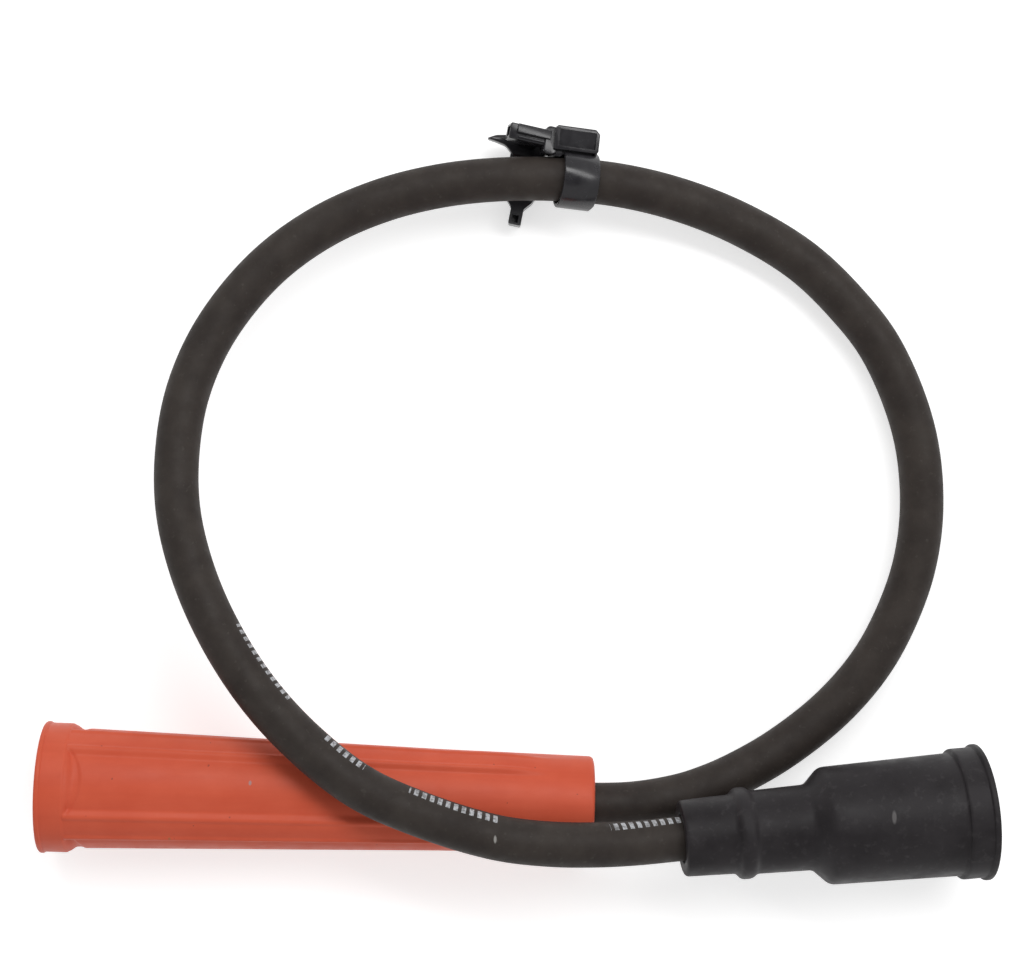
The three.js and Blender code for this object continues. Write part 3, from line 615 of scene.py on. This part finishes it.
# %% [markdown]
# ## The clip
# The clip is moulded from glossy black nylon. A band closes round the cable and locks in a
# block beside it; an arm carries a foot that reaches under the cable, with a leaf-shaped wing, a
# plate and a hollow peg that would sit in a hole of the engine's bracket. It is made the way a
# toolmaker would cut its mould: simple prisms with broken edges, joined into one solid, and then
# pockets cut away. Of Blender's boolean solvers, the manifold one is quick and keeps closed
# solids closed, which suits parts that are all closed to begin with.

# %% Helpers for moulded shapes
ROD_COLUMNS = 72
CLIP_PITCH = 11


def prism(outline, low, high, edge=0.25):
    """A closed prism from an outline in X and Y, with its edges broken."""
    builder = bmesh.new()
    floor_corners = [builder.verts.new(Vector((x, y, low)) * MM) for x, y in outline]
    roof_corners = [builder.verts.new(Vector((x, y, high)) * MM) for x, y in outline]
    count = len(outline)
    builder.faces.new(list(reversed(floor_corners)))
    builder.faces.new(roof_corners)
    for k in range(count):
        n = (k + 1) % count
        builder.faces.new((floor_corners[k], floor_corners[n], roof_corners[n], roof_corners[k]))
    bmesh.ops.recalc_face_normals(builder, faces=builder.faces)
    if edge:
        bmesh.ops.bevel(builder, geom=builder.edges[:], offset=edge * MM, segments=3, profile=0.5,
                        affect="EDGES", clamp_overlap=True)
    return builder


def brick(x0, x1, y0, y1, z0, z1, edge=0.25):
    """A prism on a rectangle, from its lowest to its highest place in X, Y and Z."""
    return prism([(x0, y0), (x1, y0), (x1, y1), (x0, y1)], z0, z1, edge)


def sloped(builder, fall, roof=True):
    """Lets a prism's roof, or its floor, fall towards +Y by this much for each unit across."""
    heights = [vertex.co.z for vertex in builder.verts]
    middle = (min(heights) + max(heights)) / 2
    near = min(vertex.co.y for vertex in builder.verts)
    for vertex in builder.verts:
        if (vertex.co.z > middle) == roof:
            vertex.co.z -= (vertex.co.y - near) * fall
    return builder


def upright(builder):
    """Leans a prism of the tipped clip back, so that its walls stand upright on the bench."""
    roof = max(vertex.co.z for vertex in builder.verts)
    for vertex in builder.verts:
        vertex.co.x += (roof - vertex.co.z) * math.tan(math.radians(CLIP_PITCH))
    return builder


def plain_rod(start, end, radius):
    """A round rod along X."""
    return skin([turned_ring(along, lambda angle: radius, ROD_COLUMNS) for along in (start, end)])


def plain_tube(outside, inside):
    """A round tube along X, from (place, radius) pairs."""
    rings = [turned_ring(along, lambda angle, r=radius: r, ROD_COLUMNS) for along, radius in outside]
    return tube_skin(rings, inside, ROD_COLUMNS)


print("prisms, rods and tubes can be made")

# %% [markdown]
# A boolean modifier joins or cuts one solid with another. We hang one on the first solid for
# each of the others, read the result once, and throw the tools away.

# %% Join the parts of a moulding
MOULDING_SHARP_ANGLE = 34


def moulded(name, groups):
    """One closed object from groups of (axes, overlapping parts, shapes to cut away)."""
    base = None
    tools = []
    for place, parts, cuts in groups:
        for operation, builders in (("UNION", parts), ("DIFFERENCE", cuts)):
            for builder in builders:
                solid = piece(f"{name}_tool_{len(tools)}", builder, place)
                if base is None:
                    base = solid
                    continue
                join = base.modifiers.new(solid.name, "BOOLEAN")
                join.operation = operation
                join.object = solid
                join.solver = "MANIFOLD"
                tools.append(solid)
    bpy.context.view_layer.update()
    evaluated = base.evaluated_get(bpy.context.evaluated_depsgraph_get())
    mesh = bpy.data.meshes.new_from_object(evaluated)
    base.modifiers.clear()
    base.data = mesh
    base.name = name
    for solid in tools:
        bpy.data.objects.remove(solid)
    mesh.shade_smooth()
    mesh.set_sharp_from_angle(angle=math.radians(MOULDING_SHARP_ANGLE))
    return base


print("mouldings are joined with the manifold solver")

# %% [markdown]
# The clip's own axes stand at the middle of its band: X along the cable, Y across it towards
# the block, Z up. The whole clip tips by 11 degrees, because its foot stands on the bench. Nylon
# gives a little, so the arm and the foot are turned 5 degrees from the band. First come the band
# and its block, with the recess of the block's face and the slot that the strap locks in.

# %% Build the band and the block
CLIP_PLACE = Vector((11.25, 58.3, 8.3))
CLIP_YAW = -6
FOOT_TURN = -5
BLOCK_FLOOR = -2.4
BLOCK_ROOF = 2.9
LEG_ROOF = 1.9

clip_axis = (Matrix.Translation((CLIP_PLACE + MODEL_SHIFT) * MM)
             @ Matrix.Rotation(math.radians(CLIP_YAW), 4, "Z")
             @ Matrix.Rotation(math.radians(CLIP_PITCH), 4, "Y"))
foot_axis = clip_axis @ Matrix.Rotation(math.radians(FOOT_TURN), 4, "Z")
clip_band = plain_tube([(-3.3, 5.0), (-3.22, 5.18), (-3, 5.3), (3, 5.3), (3.22, 5.18), (3.3, 5.0)],
                       [(-3.3, 4.75), (-3.2, 4.6), (-3, 4.55), (3, 4.55), (3.2, 4.6), (3.3, 4.75)])
block_outline = [(-5.3, 4.9), (2.6, 4.9), (3, 5.3), (3, 8.5), (2.2, 9.3), (-4.9, 9.3), (-5.3, 8.9)]
leg_outline = [(-5.3, 3.4), (-3.9, 3.4), (-3.4, 4.1), (-2.3, 4.1), (-2.3, 6), (-5.3, 6)]
band_parts = [
    clip_band,
    prism(block_outline, BLOCK_FLOOR, BLOCK_ROOF, 0.22),
    prism(leg_outline, BLOCK_FLOOR, LEG_ROOF, 0.2),
    brick(2.4, 3, 3.6, 6, BLOCK_FLOOR, LEG_ROOF, 0.15),
]
band_cuts = [
    sloped(brick(-4.5, 2.3, 5.6, 8.6, 2.45, 4, 0), -0.12, roof=False),
    brick(-3.6, 2.4, 4.45, 4.95, 1.3, 4, 0),
    prism([(2.3, -6), (4, -6), (4, -3.4)], -7, 7, 0),
    plain_rod(-6, 3.5, 4.2),
]
print("the band and the block have", len(band_parts), "parts and", len(band_cuts), "cuts")

# %% [markdown]
# Then the arm and the foot. The wing is a leaf that thins towards both tips, because it springs
# against the bracket. A moulded part needs draft, a small slope that lets it leave its mould, so
# the roofs of the flange, the arm's rib and the wing fall a little to one side. A level face and
# a sloped one beside it catch different light, and that is what makes small parts readable. The
# foot and the wing lean back by as much as the clip tips, so that their walls stand upright.

# %% Build the arm and the foot
FOOT_AT = -8.85
FOOT_FLOOR = -9.45
DRAFT = 0.2
flange_outline = [(-7, 3.3), (-5.8, 3.3), (-5, 3.8), (-5, 8.6), (-7, 8.6), (-7.5, 8.1), (-7.5, 3.8)]
wing_outline = [
    (8.2, 5), (6.6, 6), (4.5, 6.5), (0, 6.2), (-4.5, 6.5), (-6.6, 6), (-8.2, 5), (-6.3, 4.8),
    (-4.6, 4.5), (-3.5, 3.6), (-2.9, 2.9), (2.9, 2.9), (3.5, 3.6), (4.6, 4.5), (6.3, 4.8),
]
foot_outline = [
    (-2.6, -4.8), (-1.2, -6.4), (-1.2, -9.5), (1.2, -9.5), (1.2, -6.4), (2.6, -4.8), (3.2, -3.2),
    (3.2, 3.5), (2.5, 4.2), (-2.5, 4.2), (-3.2, 3.5), (-3.2, -3.2),
]
foot_parts = [
    sloped(prism(flange_outline, -2.1, 2.5, 0.3), DRAFT),
    brick(-14.1, -6.5, 4.8, 7.7, -2.3, 1.6, 0.3),
    sloped(brick(-12.8, -6.5, 6, 7.7, -2, 2.3, 0.15), DRAFT),
    brick(-12.4, -6.5, 5.15, 5.5, -2, 1.85, 0.1),
    brick(-11.1, -7.7, 4.9, 7.5, -8.4, 1.1, 0.3),
    upright(prism([(x + FOOT_AT, y) for x, y in foot_outline], FOOT_FLOOR, -5.6, 0.3)),
    upright(sloped(prism([(x + FOOT_AT, y) for x, y in wing_outline], -8, -4.9, 0.35), DRAFT)),
]
foot_cuts = [
    brick(-15, -13.2, 5.3, 7.1, -1.3, 1.3, 0),
    brick(FOOT_AT - 5, FOOT_AT + 5, -9.8, -4.8, -6.05, -4, 0),
    brick(FOOT_AT - 0.65, FOOT_AT + 0.65, -9.1, -7.7, -7.6, -5, 0),
]
wire_clip = moulded("wire_clip_moulding", [
    (clip_axis, band_parts, band_cuts),
    (foot_axis, foot_parts, foot_cuts),
])
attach(wire_clip, "root")
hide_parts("wire_clip")
print("clip faces:", len(wire_clip.data.polygons))

# %% [markdown]
# ## Materials from nodes
# A finish is a shader with a few layers under it. Noise at two scales gives the mottling that
# handling leaves, a finer noise gives the grain as a bump, and another makes the roughness
# uneven. The helpers below add a node or two and join them up, so that a recipe reads from top
# to bottom. Anything that is the same all over, such as how much the surface reflects, goes
# straight on the shader's own socket.

# %% Helpers for materials
def set_up(name, colour, roughness, **sockets):
    """A material with its shader's sockets set."""
    made = bpy.data.materials.new(name)
    made.use_nodes = True
    shader = made.node_tree.nodes["Principled BSDF"]
    shader.inputs["Base Color"].default_value = (*linear(colour), 1)
    shader.inputs["Roughness"].default_value = roughness
    for socket, value in sockets.items():
        shader.inputs[socket.replace("_", " ")].default_value = value
    return made, made.node_tree, shader


def linear(colour):
    """A colour that is written as it looks on screen, 0 to 255, in the shader's own numbers."""
    return [((c / 255 + 0.055) / 1.055) ** 2.4 for c in colour]


def add(tree, kind, **inputs):
    """A node with some inputs set or joined. Names in capitals set the node's own choices."""
    node = tree.nodes.new(kind)
    for name, value in inputs.items():
        if name.isupper():
            setattr(node, name.lower(), value)
    for name, value in inputs.items():
        if name.isupper():
            continue
        socket = node.inputs[int(name[2:])] if name.startswith("in") else node.inputs[name]
        if isinstance(value, bpy.types.NodeSocket):
            tree.links.new(value, socket)
        else:
            socket.default_value = value
    return node


def noise(tree, scale, detail=4, roughness=0.6, stretch=None):
    """Noise in the object's own space. stretch gives a scale for each axis."""
    place = add(tree, "ShaderNodeTexCoord").outputs["Object"]
    if stretch:
        place = add(tree, "ShaderNodeMapping", Vector=place, Scale=stretch).outputs["Vector"]
    return add(tree, "ShaderNodeTexNoise", Vector=place, Scale=scale, Detail=detail,
               Roughness=roughness).outputs["Fac"]


print("a material can be set up")

# %% [markdown]
# Noise comes as one number for each point. We stretch its range to make patches with soft or
# sharp edges, use it as the share of a colour between two colours, or read it as a height for
# the bump. A small ellipsoid in the object's own space marks one speck or scuff at a given place.

# %% Helpers for colour and bump
def spread(tree, value, low, high, to_low, to_high):
    """A value moved from one range to another, and held there."""
    return add(tree, "ShaderNodeMapRange", Value=value, **{"From Min": low, "From Max": high,
               "To Min": to_low, "To Max": to_high}).outputs["Result"]


def math_node(tree, operation, first, second=0.5):
    """One sum on one or two values."""
    return add(tree, "ShaderNodeMath", OPERATION=operation, in0=first, in1=second).outputs[0]


def tint(tree, share, low, high):
    """A colour between two colours."""
    node = add(tree, "ShaderNodeMix", DATA_TYPE="RGBA")
    for socket, value in ((node.inputs[6], low), (node.inputs[7], high)):
        if isinstance(value, bpy.types.NodeSocket):
            tree.links.new(value, socket)
        else:
            socket.default_value = (*linear(value), 1)
    tree.links.new(share, node.inputs[0])
    return node.outputs[2]


def bump(tree, height, distance, strength):
    """A bumpy normal. The distance is the grain's depth in mm."""
    return add(tree, "ShaderNodeBump", Height=height, Distance=distance * MM,
               Strength=strength).outputs["Normal"]


def spot(tree, place, size):
    """1 in a small ellipsoid and 0 away from it. Place and size are in mm."""
    here = add(tree, "ShaderNodeTexCoord").outputs["Object"]
    scale = [1 / (MM * across) for across in size]
    moved = add(tree, "ShaderNodeMapping", Vector=here, Scale=scale,
                Location=[-x / across for x, across in zip(place, size)]).outputs["Vector"]
    away = add(tree, "ShaderNodeVectorMath", OPERATION="LENGTH", in0=moved).outputs["Value"]
    return spread(tree, away, 0.6, 1, 1, 0)


print("colours, bumps and specks can be made")

# %% [markdown]
# ## The jacket's finish
# Silicone cable jacket is matte and a little warm: dark grey-brown and mottled, with a bloom of
# dust and one pale scuff. It reflects little, so it stays dark all the way to its edges. The
# printed marks are plain pale dashes in four runs. A ramp with hard stops, read along the
# cable, switches the runs on and off, and a fraction that repeats cuts each run into dashes.
# Noise wears the ink. A picture of the print would do as well, but it would be one more file.

# %% Make the jacket
MARK_PITCH = 1.5
MARK_RUNS = [(366, 382.3), (391.5, 401.4), (411, 428.3), (448.5, 462.8)]
MARK_DUTY = 0.55
MARK_HALF_WIDTH = 1
SCUFF_PLACE = (-3.5, -59.1, 27.2)
SCUFF_SIZE = (0.3, 0.8, 1.5)


def marks(tree):
    """1 on the printed dashes and 0 elsewhere."""
    uv = add(tree, "ShaderNodeUVMap", UV_MAP="surface").outputs["UV"]
    parts = add(tree, "ShaderNodeSeparateXYZ", Vector=uv)
    along, around = parts.outputs["X"], parts.outputs["Y"]
    length = cable_length / MM
    runs = add(tree, "ShaderNodeValToRGB", Fac=along)
    runs.color_ramp.interpolation = "CONSTANT"
    for start, end in MARK_RUNS:
        runs.color_ramp.elements.new(start / length).color = (1, 1, 1, 1)
        runs.color_ramp.elements.new(end / length).color = (0, 0, 0, 1)
    runs.color_ramp.elements[0].color = (0, 0, 0, 1)
    runs.color_ramp.elements[-1].color = (0, 0, 0, 1)
    steps = math_node(tree, "MULTIPLY", along, length / MARK_PITCH)
    dash = math_node(tree, "LESS_THAN", math_node(tree, "FRACT", steps), MARK_DUTY)
    away = math_node(tree, "PINGPONG", around, 0.5)
    width = MARK_HALF_WIDTH / (math.pi * CABLE_DIAMETER)
    line = math_node(tree, "LESS_THAN", away, width)
    dashes = math_node(tree, "MULTIPLY", dash, line)
    printed = math_node(tree, "MULTIPLY", dashes, runs.outputs["Color"])
    worn = spread(tree, noise(tree, 1400), 0.38, 0.56, 0.3, 0.9)
    return math_node(tree, "MULTIPLY", printed, worn)


def make_jacket():
    """Matte grey-brown silicone with the dashes printed on it."""
    made, tree, shader = set_up("cable_jacket", (52, 48, 45), 0.62, Specular_IOR_Level=0.22)
    mottle = spread(tree, noise(tree, 160, 5), 0.35, 0.65, 0, 1)
    base = tint(tree, mottle, (47, 41, 38), (58, 52, 48))
    dust = spread(tree, noise(tree, 900, 3), 0.62, 0.75, 0, 0.35)
    base = tint(tree, dust, base, (80, 76, 71))
    scuffed = math_node(tree, "MULTIPLY", spot(tree, SCUFF_PLACE, SCUFF_SIZE), 0.7)
    base = tint(tree, scuffed, base, (168, 166, 162))
    inked = tint(tree, marks(tree), base, (196, 198, 202))
    tree.links.new(inked, shader.inputs["Base Color"])
    uneven = spread(tree, noise(tree, 420, 4), 0.3, 0.7, 0.52, 0.7)
    tree.links.new(uneven, shader.inputs["Roughness"])
    tree.links.new(bump(tree, noise(tree, 2600, 3), 0.02, 0.5), shader.inputs["Normal"])
    return made


ignition_cable.data.materials.append(make_jacket())
print("printed runs:", len(MARK_RUNS))

# %% [markdown]
# ## Light and floor
# The photograph's light is very soft and even: pale card all round, and one big window light.
# The world is that card. It is darker straight above, where the camera looks through it, and so
# dark rubber that faces the camera stays dark. One long area lamp stands behind the loop and
# gives the clip's band its bright line. The floor is pale and lit like everything else. Only for
# the camera, and for rays that mirror or pass through something, a little light of its own is
# added, so that the empty floor reaches white and the shadow under the wire stays.

# %% Light the set
WORLD_STRENGTH = 0.6
GAP_STRENGTH = 0.12
FLOOR_GLOW = 0.55
GAP_FROM = 0.82
GAP_FULL = 0.94
LAMP_PLACE = (0.22, 0.46, 0.82)
LAMP_SIZE = (1.2, 0.24)
LAMP_POWER = 5.4
FLOOR_HALF_SIZE = 3

world = bpy.data.worlds.new("pale_card_round")
world.use_nodes = True
sky = world.node_tree.nodes["Background"]
sky.inputs["Color"].default_value = (1, 1, 1, 1)
direction = add(world.node_tree, "ShaderNodeTexCoord").outputs["Generated"]
upward = add(world.node_tree, "ShaderNodeSeparateXYZ", Vector=direction).outputs["Z"]
card = spread(world.node_tree, upward, GAP_FROM, GAP_FULL, WORLD_STRENGTH, GAP_STRENGTH)
world.node_tree.links.new(card, sky.inputs["Strength"])
bpy.context.scene.world = world

lamp_data = bpy.data.lights.new("window_light", "AREA")
lamp_data.shape = "RECTANGLE"
lamp_data.size, lamp_data.size_y = LAMP_SIZE
lamp_data.energy = LAMP_POWER
lamp = bpy.data.objects.new("window_light", lamp_data)
lamp.location = LAMP_PLACE
lamp.rotation_euler = (-Vector(LAMP_PLACE)).to_track_quat("-Z", "Y").to_euler()
bpy.context.scene.collection.objects.link(lamp)

floor_builder = bmesh.new()
bmesh.ops.create_grid(floor_builder, x_segments=1, y_segments=1, size=FLOOR_HALF_SIZE)
floor = piece("floor", floor_builder)
floor_finish, floor_tree, floor_shader = set_up("pale_card", (236, 236, 236), 0.8)
light_path = add(floor_tree, "ShaderNodeLightPath")
seen = light_path.outputs["Is Camera Ray"]
for other in ("Is Glossy Ray", "Is Transmission Ray"):
    seen = math_node(floor_tree, "MAXIMUM", seen, light_path.outputs[other])
glow = math_node(floor_tree, "MULTIPLY", seen, FLOOR_GLOW)
floor_shader.inputs["Emission Color"].default_value = (1, 1, 1, 1)
floor_tree.links.new(glow, floor_shader.inputs["Emission Strength"])
floor.data.materials.append(floor_finish)
print("one lamp of", LAMP_POWER, "watts, and a floor", 2 * FLOOR_HALF_SIZE, "m across")

# %% [markdown]
# ## Orange silicone and black rubber
# The plug boot is satin orange-red silicone rubber. Its colour is a little uneven, with darker
# streaks along it, fine specks, and three larger ones at listed places. Its reflection is set
# low, because a strong one would turn the orange pink. The cap boot is black rubber that
# handling has left mottled and a little dusty, with one pale scratch. Stretching the noise
# along the boot is what makes streaks out of patches.

# %% Make the boot finishes
SCRATCH_PLACE = (66.9, -55.6, 24.8)
SCRATCH_SIZE = (0.5, 1.4, 2)
PLUG_SPECKS = [
    ((-80.3, -43.5, 18.2), (0.5, 0.5, 0.8), (112, 62, 58)),
    ((-47.2, -50.1, 20.3), (0.32, 0.5, 0.8), (176, 136, 132)),
    ((-61.7, -60.1, 19), (0.4, 0.4, 0.8), (160, 108, 70)),
]


def make_plug_silicone():
    """Satin orange silicone with streaks and specks."""
    made, tree, shader = set_up("plug_boot_silicone", (210, 91, 65), 0.42, Specular_IOR_Level=0.16)
    mottle = spread(tree, noise(tree, 90, 5), 0.3, 0.7, 0, 1)
    base = tint(tree, mottle, (206, 87, 61), (215, 97, 70))
    streaks = spread(tree, noise(tree, 60, 4, 0.6, (0.25, 5, 5)), 0.45, 0.75, 0, 0.3)
    base = tint(tree, streaks, base, (188, 76, 56))
    specks = spread(tree, noise(tree, 900, 1), 0.79, 0.8, 0, 0.6)
    base = tint(tree, specks, base, (120, 60, 52))
    for place, size, colour in PLUG_SPECKS:
        base = tint(tree, spot(tree, place, size), base, colour)
    tree.links.new(base, shader.inputs["Base Color"])
    uneven = spread(tree, noise(tree, 240, 4), 0.3, 0.7, 0.36, 0.52)
    tree.links.new(uneven, shader.inputs["Roughness"])
    tree.links.new(bump(tree, noise(tree, 1500, 4), 0.02, 0.5), shader.inputs["Normal"])
    return made


def make_cap_rubber():
    """Satin black rubber with bloom, dust and a scratch."""
    made, tree, shader = set_up("cap_boot_rubber", (43, 40, 42), 0.55, Specular_IOR_Level=0.18)
    mottle = spread(tree, noise(tree, 130, 6), 0.35, 0.68, 0, 1)
    base = tint(tree, mottle, (35, 32, 34), (48, 45, 47))
    bloom = spread(tree, noise(tree, 330, 5, 0.7), 0.58, 0.78, 0, 0.4)
    base = tint(tree, bloom, base, (72, 69, 71))
    dust = spread(tree, noise(tree, 700, 2), 0.58, 0.74, 0, 0.2)
    base = tint(tree, dust, base, (82, 79, 80))
    scratched = math_node(tree, "MULTIPLY", spot(tree, SCRATCH_PLACE, SCRATCH_SIZE), 0.6)
    base = tint(tree, scratched, base, (112, 109, 109))
    tree.links.new(base, shader.inputs["Base Color"])
    uneven = spread(tree, noise(tree, 260, 5), 0.3, 0.7, 0.4, 0.62)
    tree.links.new(uneven, shader.inputs["Roughness"])
    tree.links.new(bump(tree, noise(tree, 1100, 5), 0.03, 0.6), shader.inputs["Normal"])
    return made


plug_boot.data.materials.append(make_plug_silicone())
cap_boot.data.materials.append(make_cap_rubber())
print("boot finishes:", plug_boot.active_material.name, "and", cap_boot.active_material.name)

# %% [markdown]
# ## Nylon and steel
# Moulded nylon is nearly black and glossy, so what we see of it is mostly reflection. Faint
# waviness in its surface keeps a flat face from looking like glass. The terminals are plated
# sheet, with fine lines from rolling, and the springs are bare wire. The core is a dull bundle
# of carbon-filled strands. One recipe with other colours serves both metals.

# %% Make the clip and terminal finishes
def make_clip_nylon():
    """Glossy black nylon."""
    made, tree, shader = set_up("clip_nylon", (40, 39, 42), 0.24, Specular_IOR_Level=0.45)
    shade = spread(tree, noise(tree, 210, 4), 0.35, 0.65, 0, 1)
    tree.links.new(tint(tree, shade, (35, 34, 37), (46, 45, 48)), shader.inputs["Base Color"])
    uneven = spread(tree, noise(tree, 420, 5), 0.3, 0.7, 0.16, 0.3)
    tree.links.new(uneven, shader.inputs["Roughness"])
    tree.links.new(bump(tree, noise(tree, 330, 3), 0.03, 0.4), shader.inputs["Normal"])
    return made


def make_steel(name, light, dark, polish, stretch):
    """A metal with lines along its stretched direction. polish is its middle roughness."""
    made, tree, shader = set_up(name, light, polish, Metallic=1)
    rolled = spread(tree, noise(tree, 700, 4, 0.6, stretch), 0.3, 0.7, 0, 1)
    tree.links.new(tint(tree, rolled, dark, light), shader.inputs["Base Color"])
    tree.links.new(spread(tree, rolled, 0, 1, polish + 0.12, polish - 0.06), shader.inputs["Roughness"])
    tree.links.new(bump(tree, rolled, 0.01, 0.4), shader.inputs["Normal"])
    return made


def make_core():
    """Dull carbon-filled strands."""
    made, tree, shader = set_up("conductor_core", (42, 40, 37), 0.78)
    strand = spread(tree, noise(tree, 1600, 3, 0.6, (0.3, 1, 1)), 0.35, 0.65, 0, 1)
    tree.links.new(tint(tree, strand, (30, 29, 27), (62, 59, 54)), shader.inputs["Base Color"])
    tree.links.new(bump(tree, strand, 0.04, 0.8), shader.inputs["Normal"])
    return made


wire_clip.data.materials.clear()
wire_clip.data.materials.append(make_clip_nylon())
plated = make_steel("plated_steel", (206, 203, 197), (176, 172, 165), 0.3, (0.15, 1, 1))
bright_wire = make_steel("spring_steel", (190, 188, 184), (150, 148, 145), 0.26, (1, 0.3, 0.3))
carbon = make_core()
for made in terminals:
    made.data.materials.append(plated)
for made in springs:
    made.data.materials.append(bright_wire)
for made in cores:
    made.data.materials.append(carbon)
print("materials made:", len(bpy.data.materials))
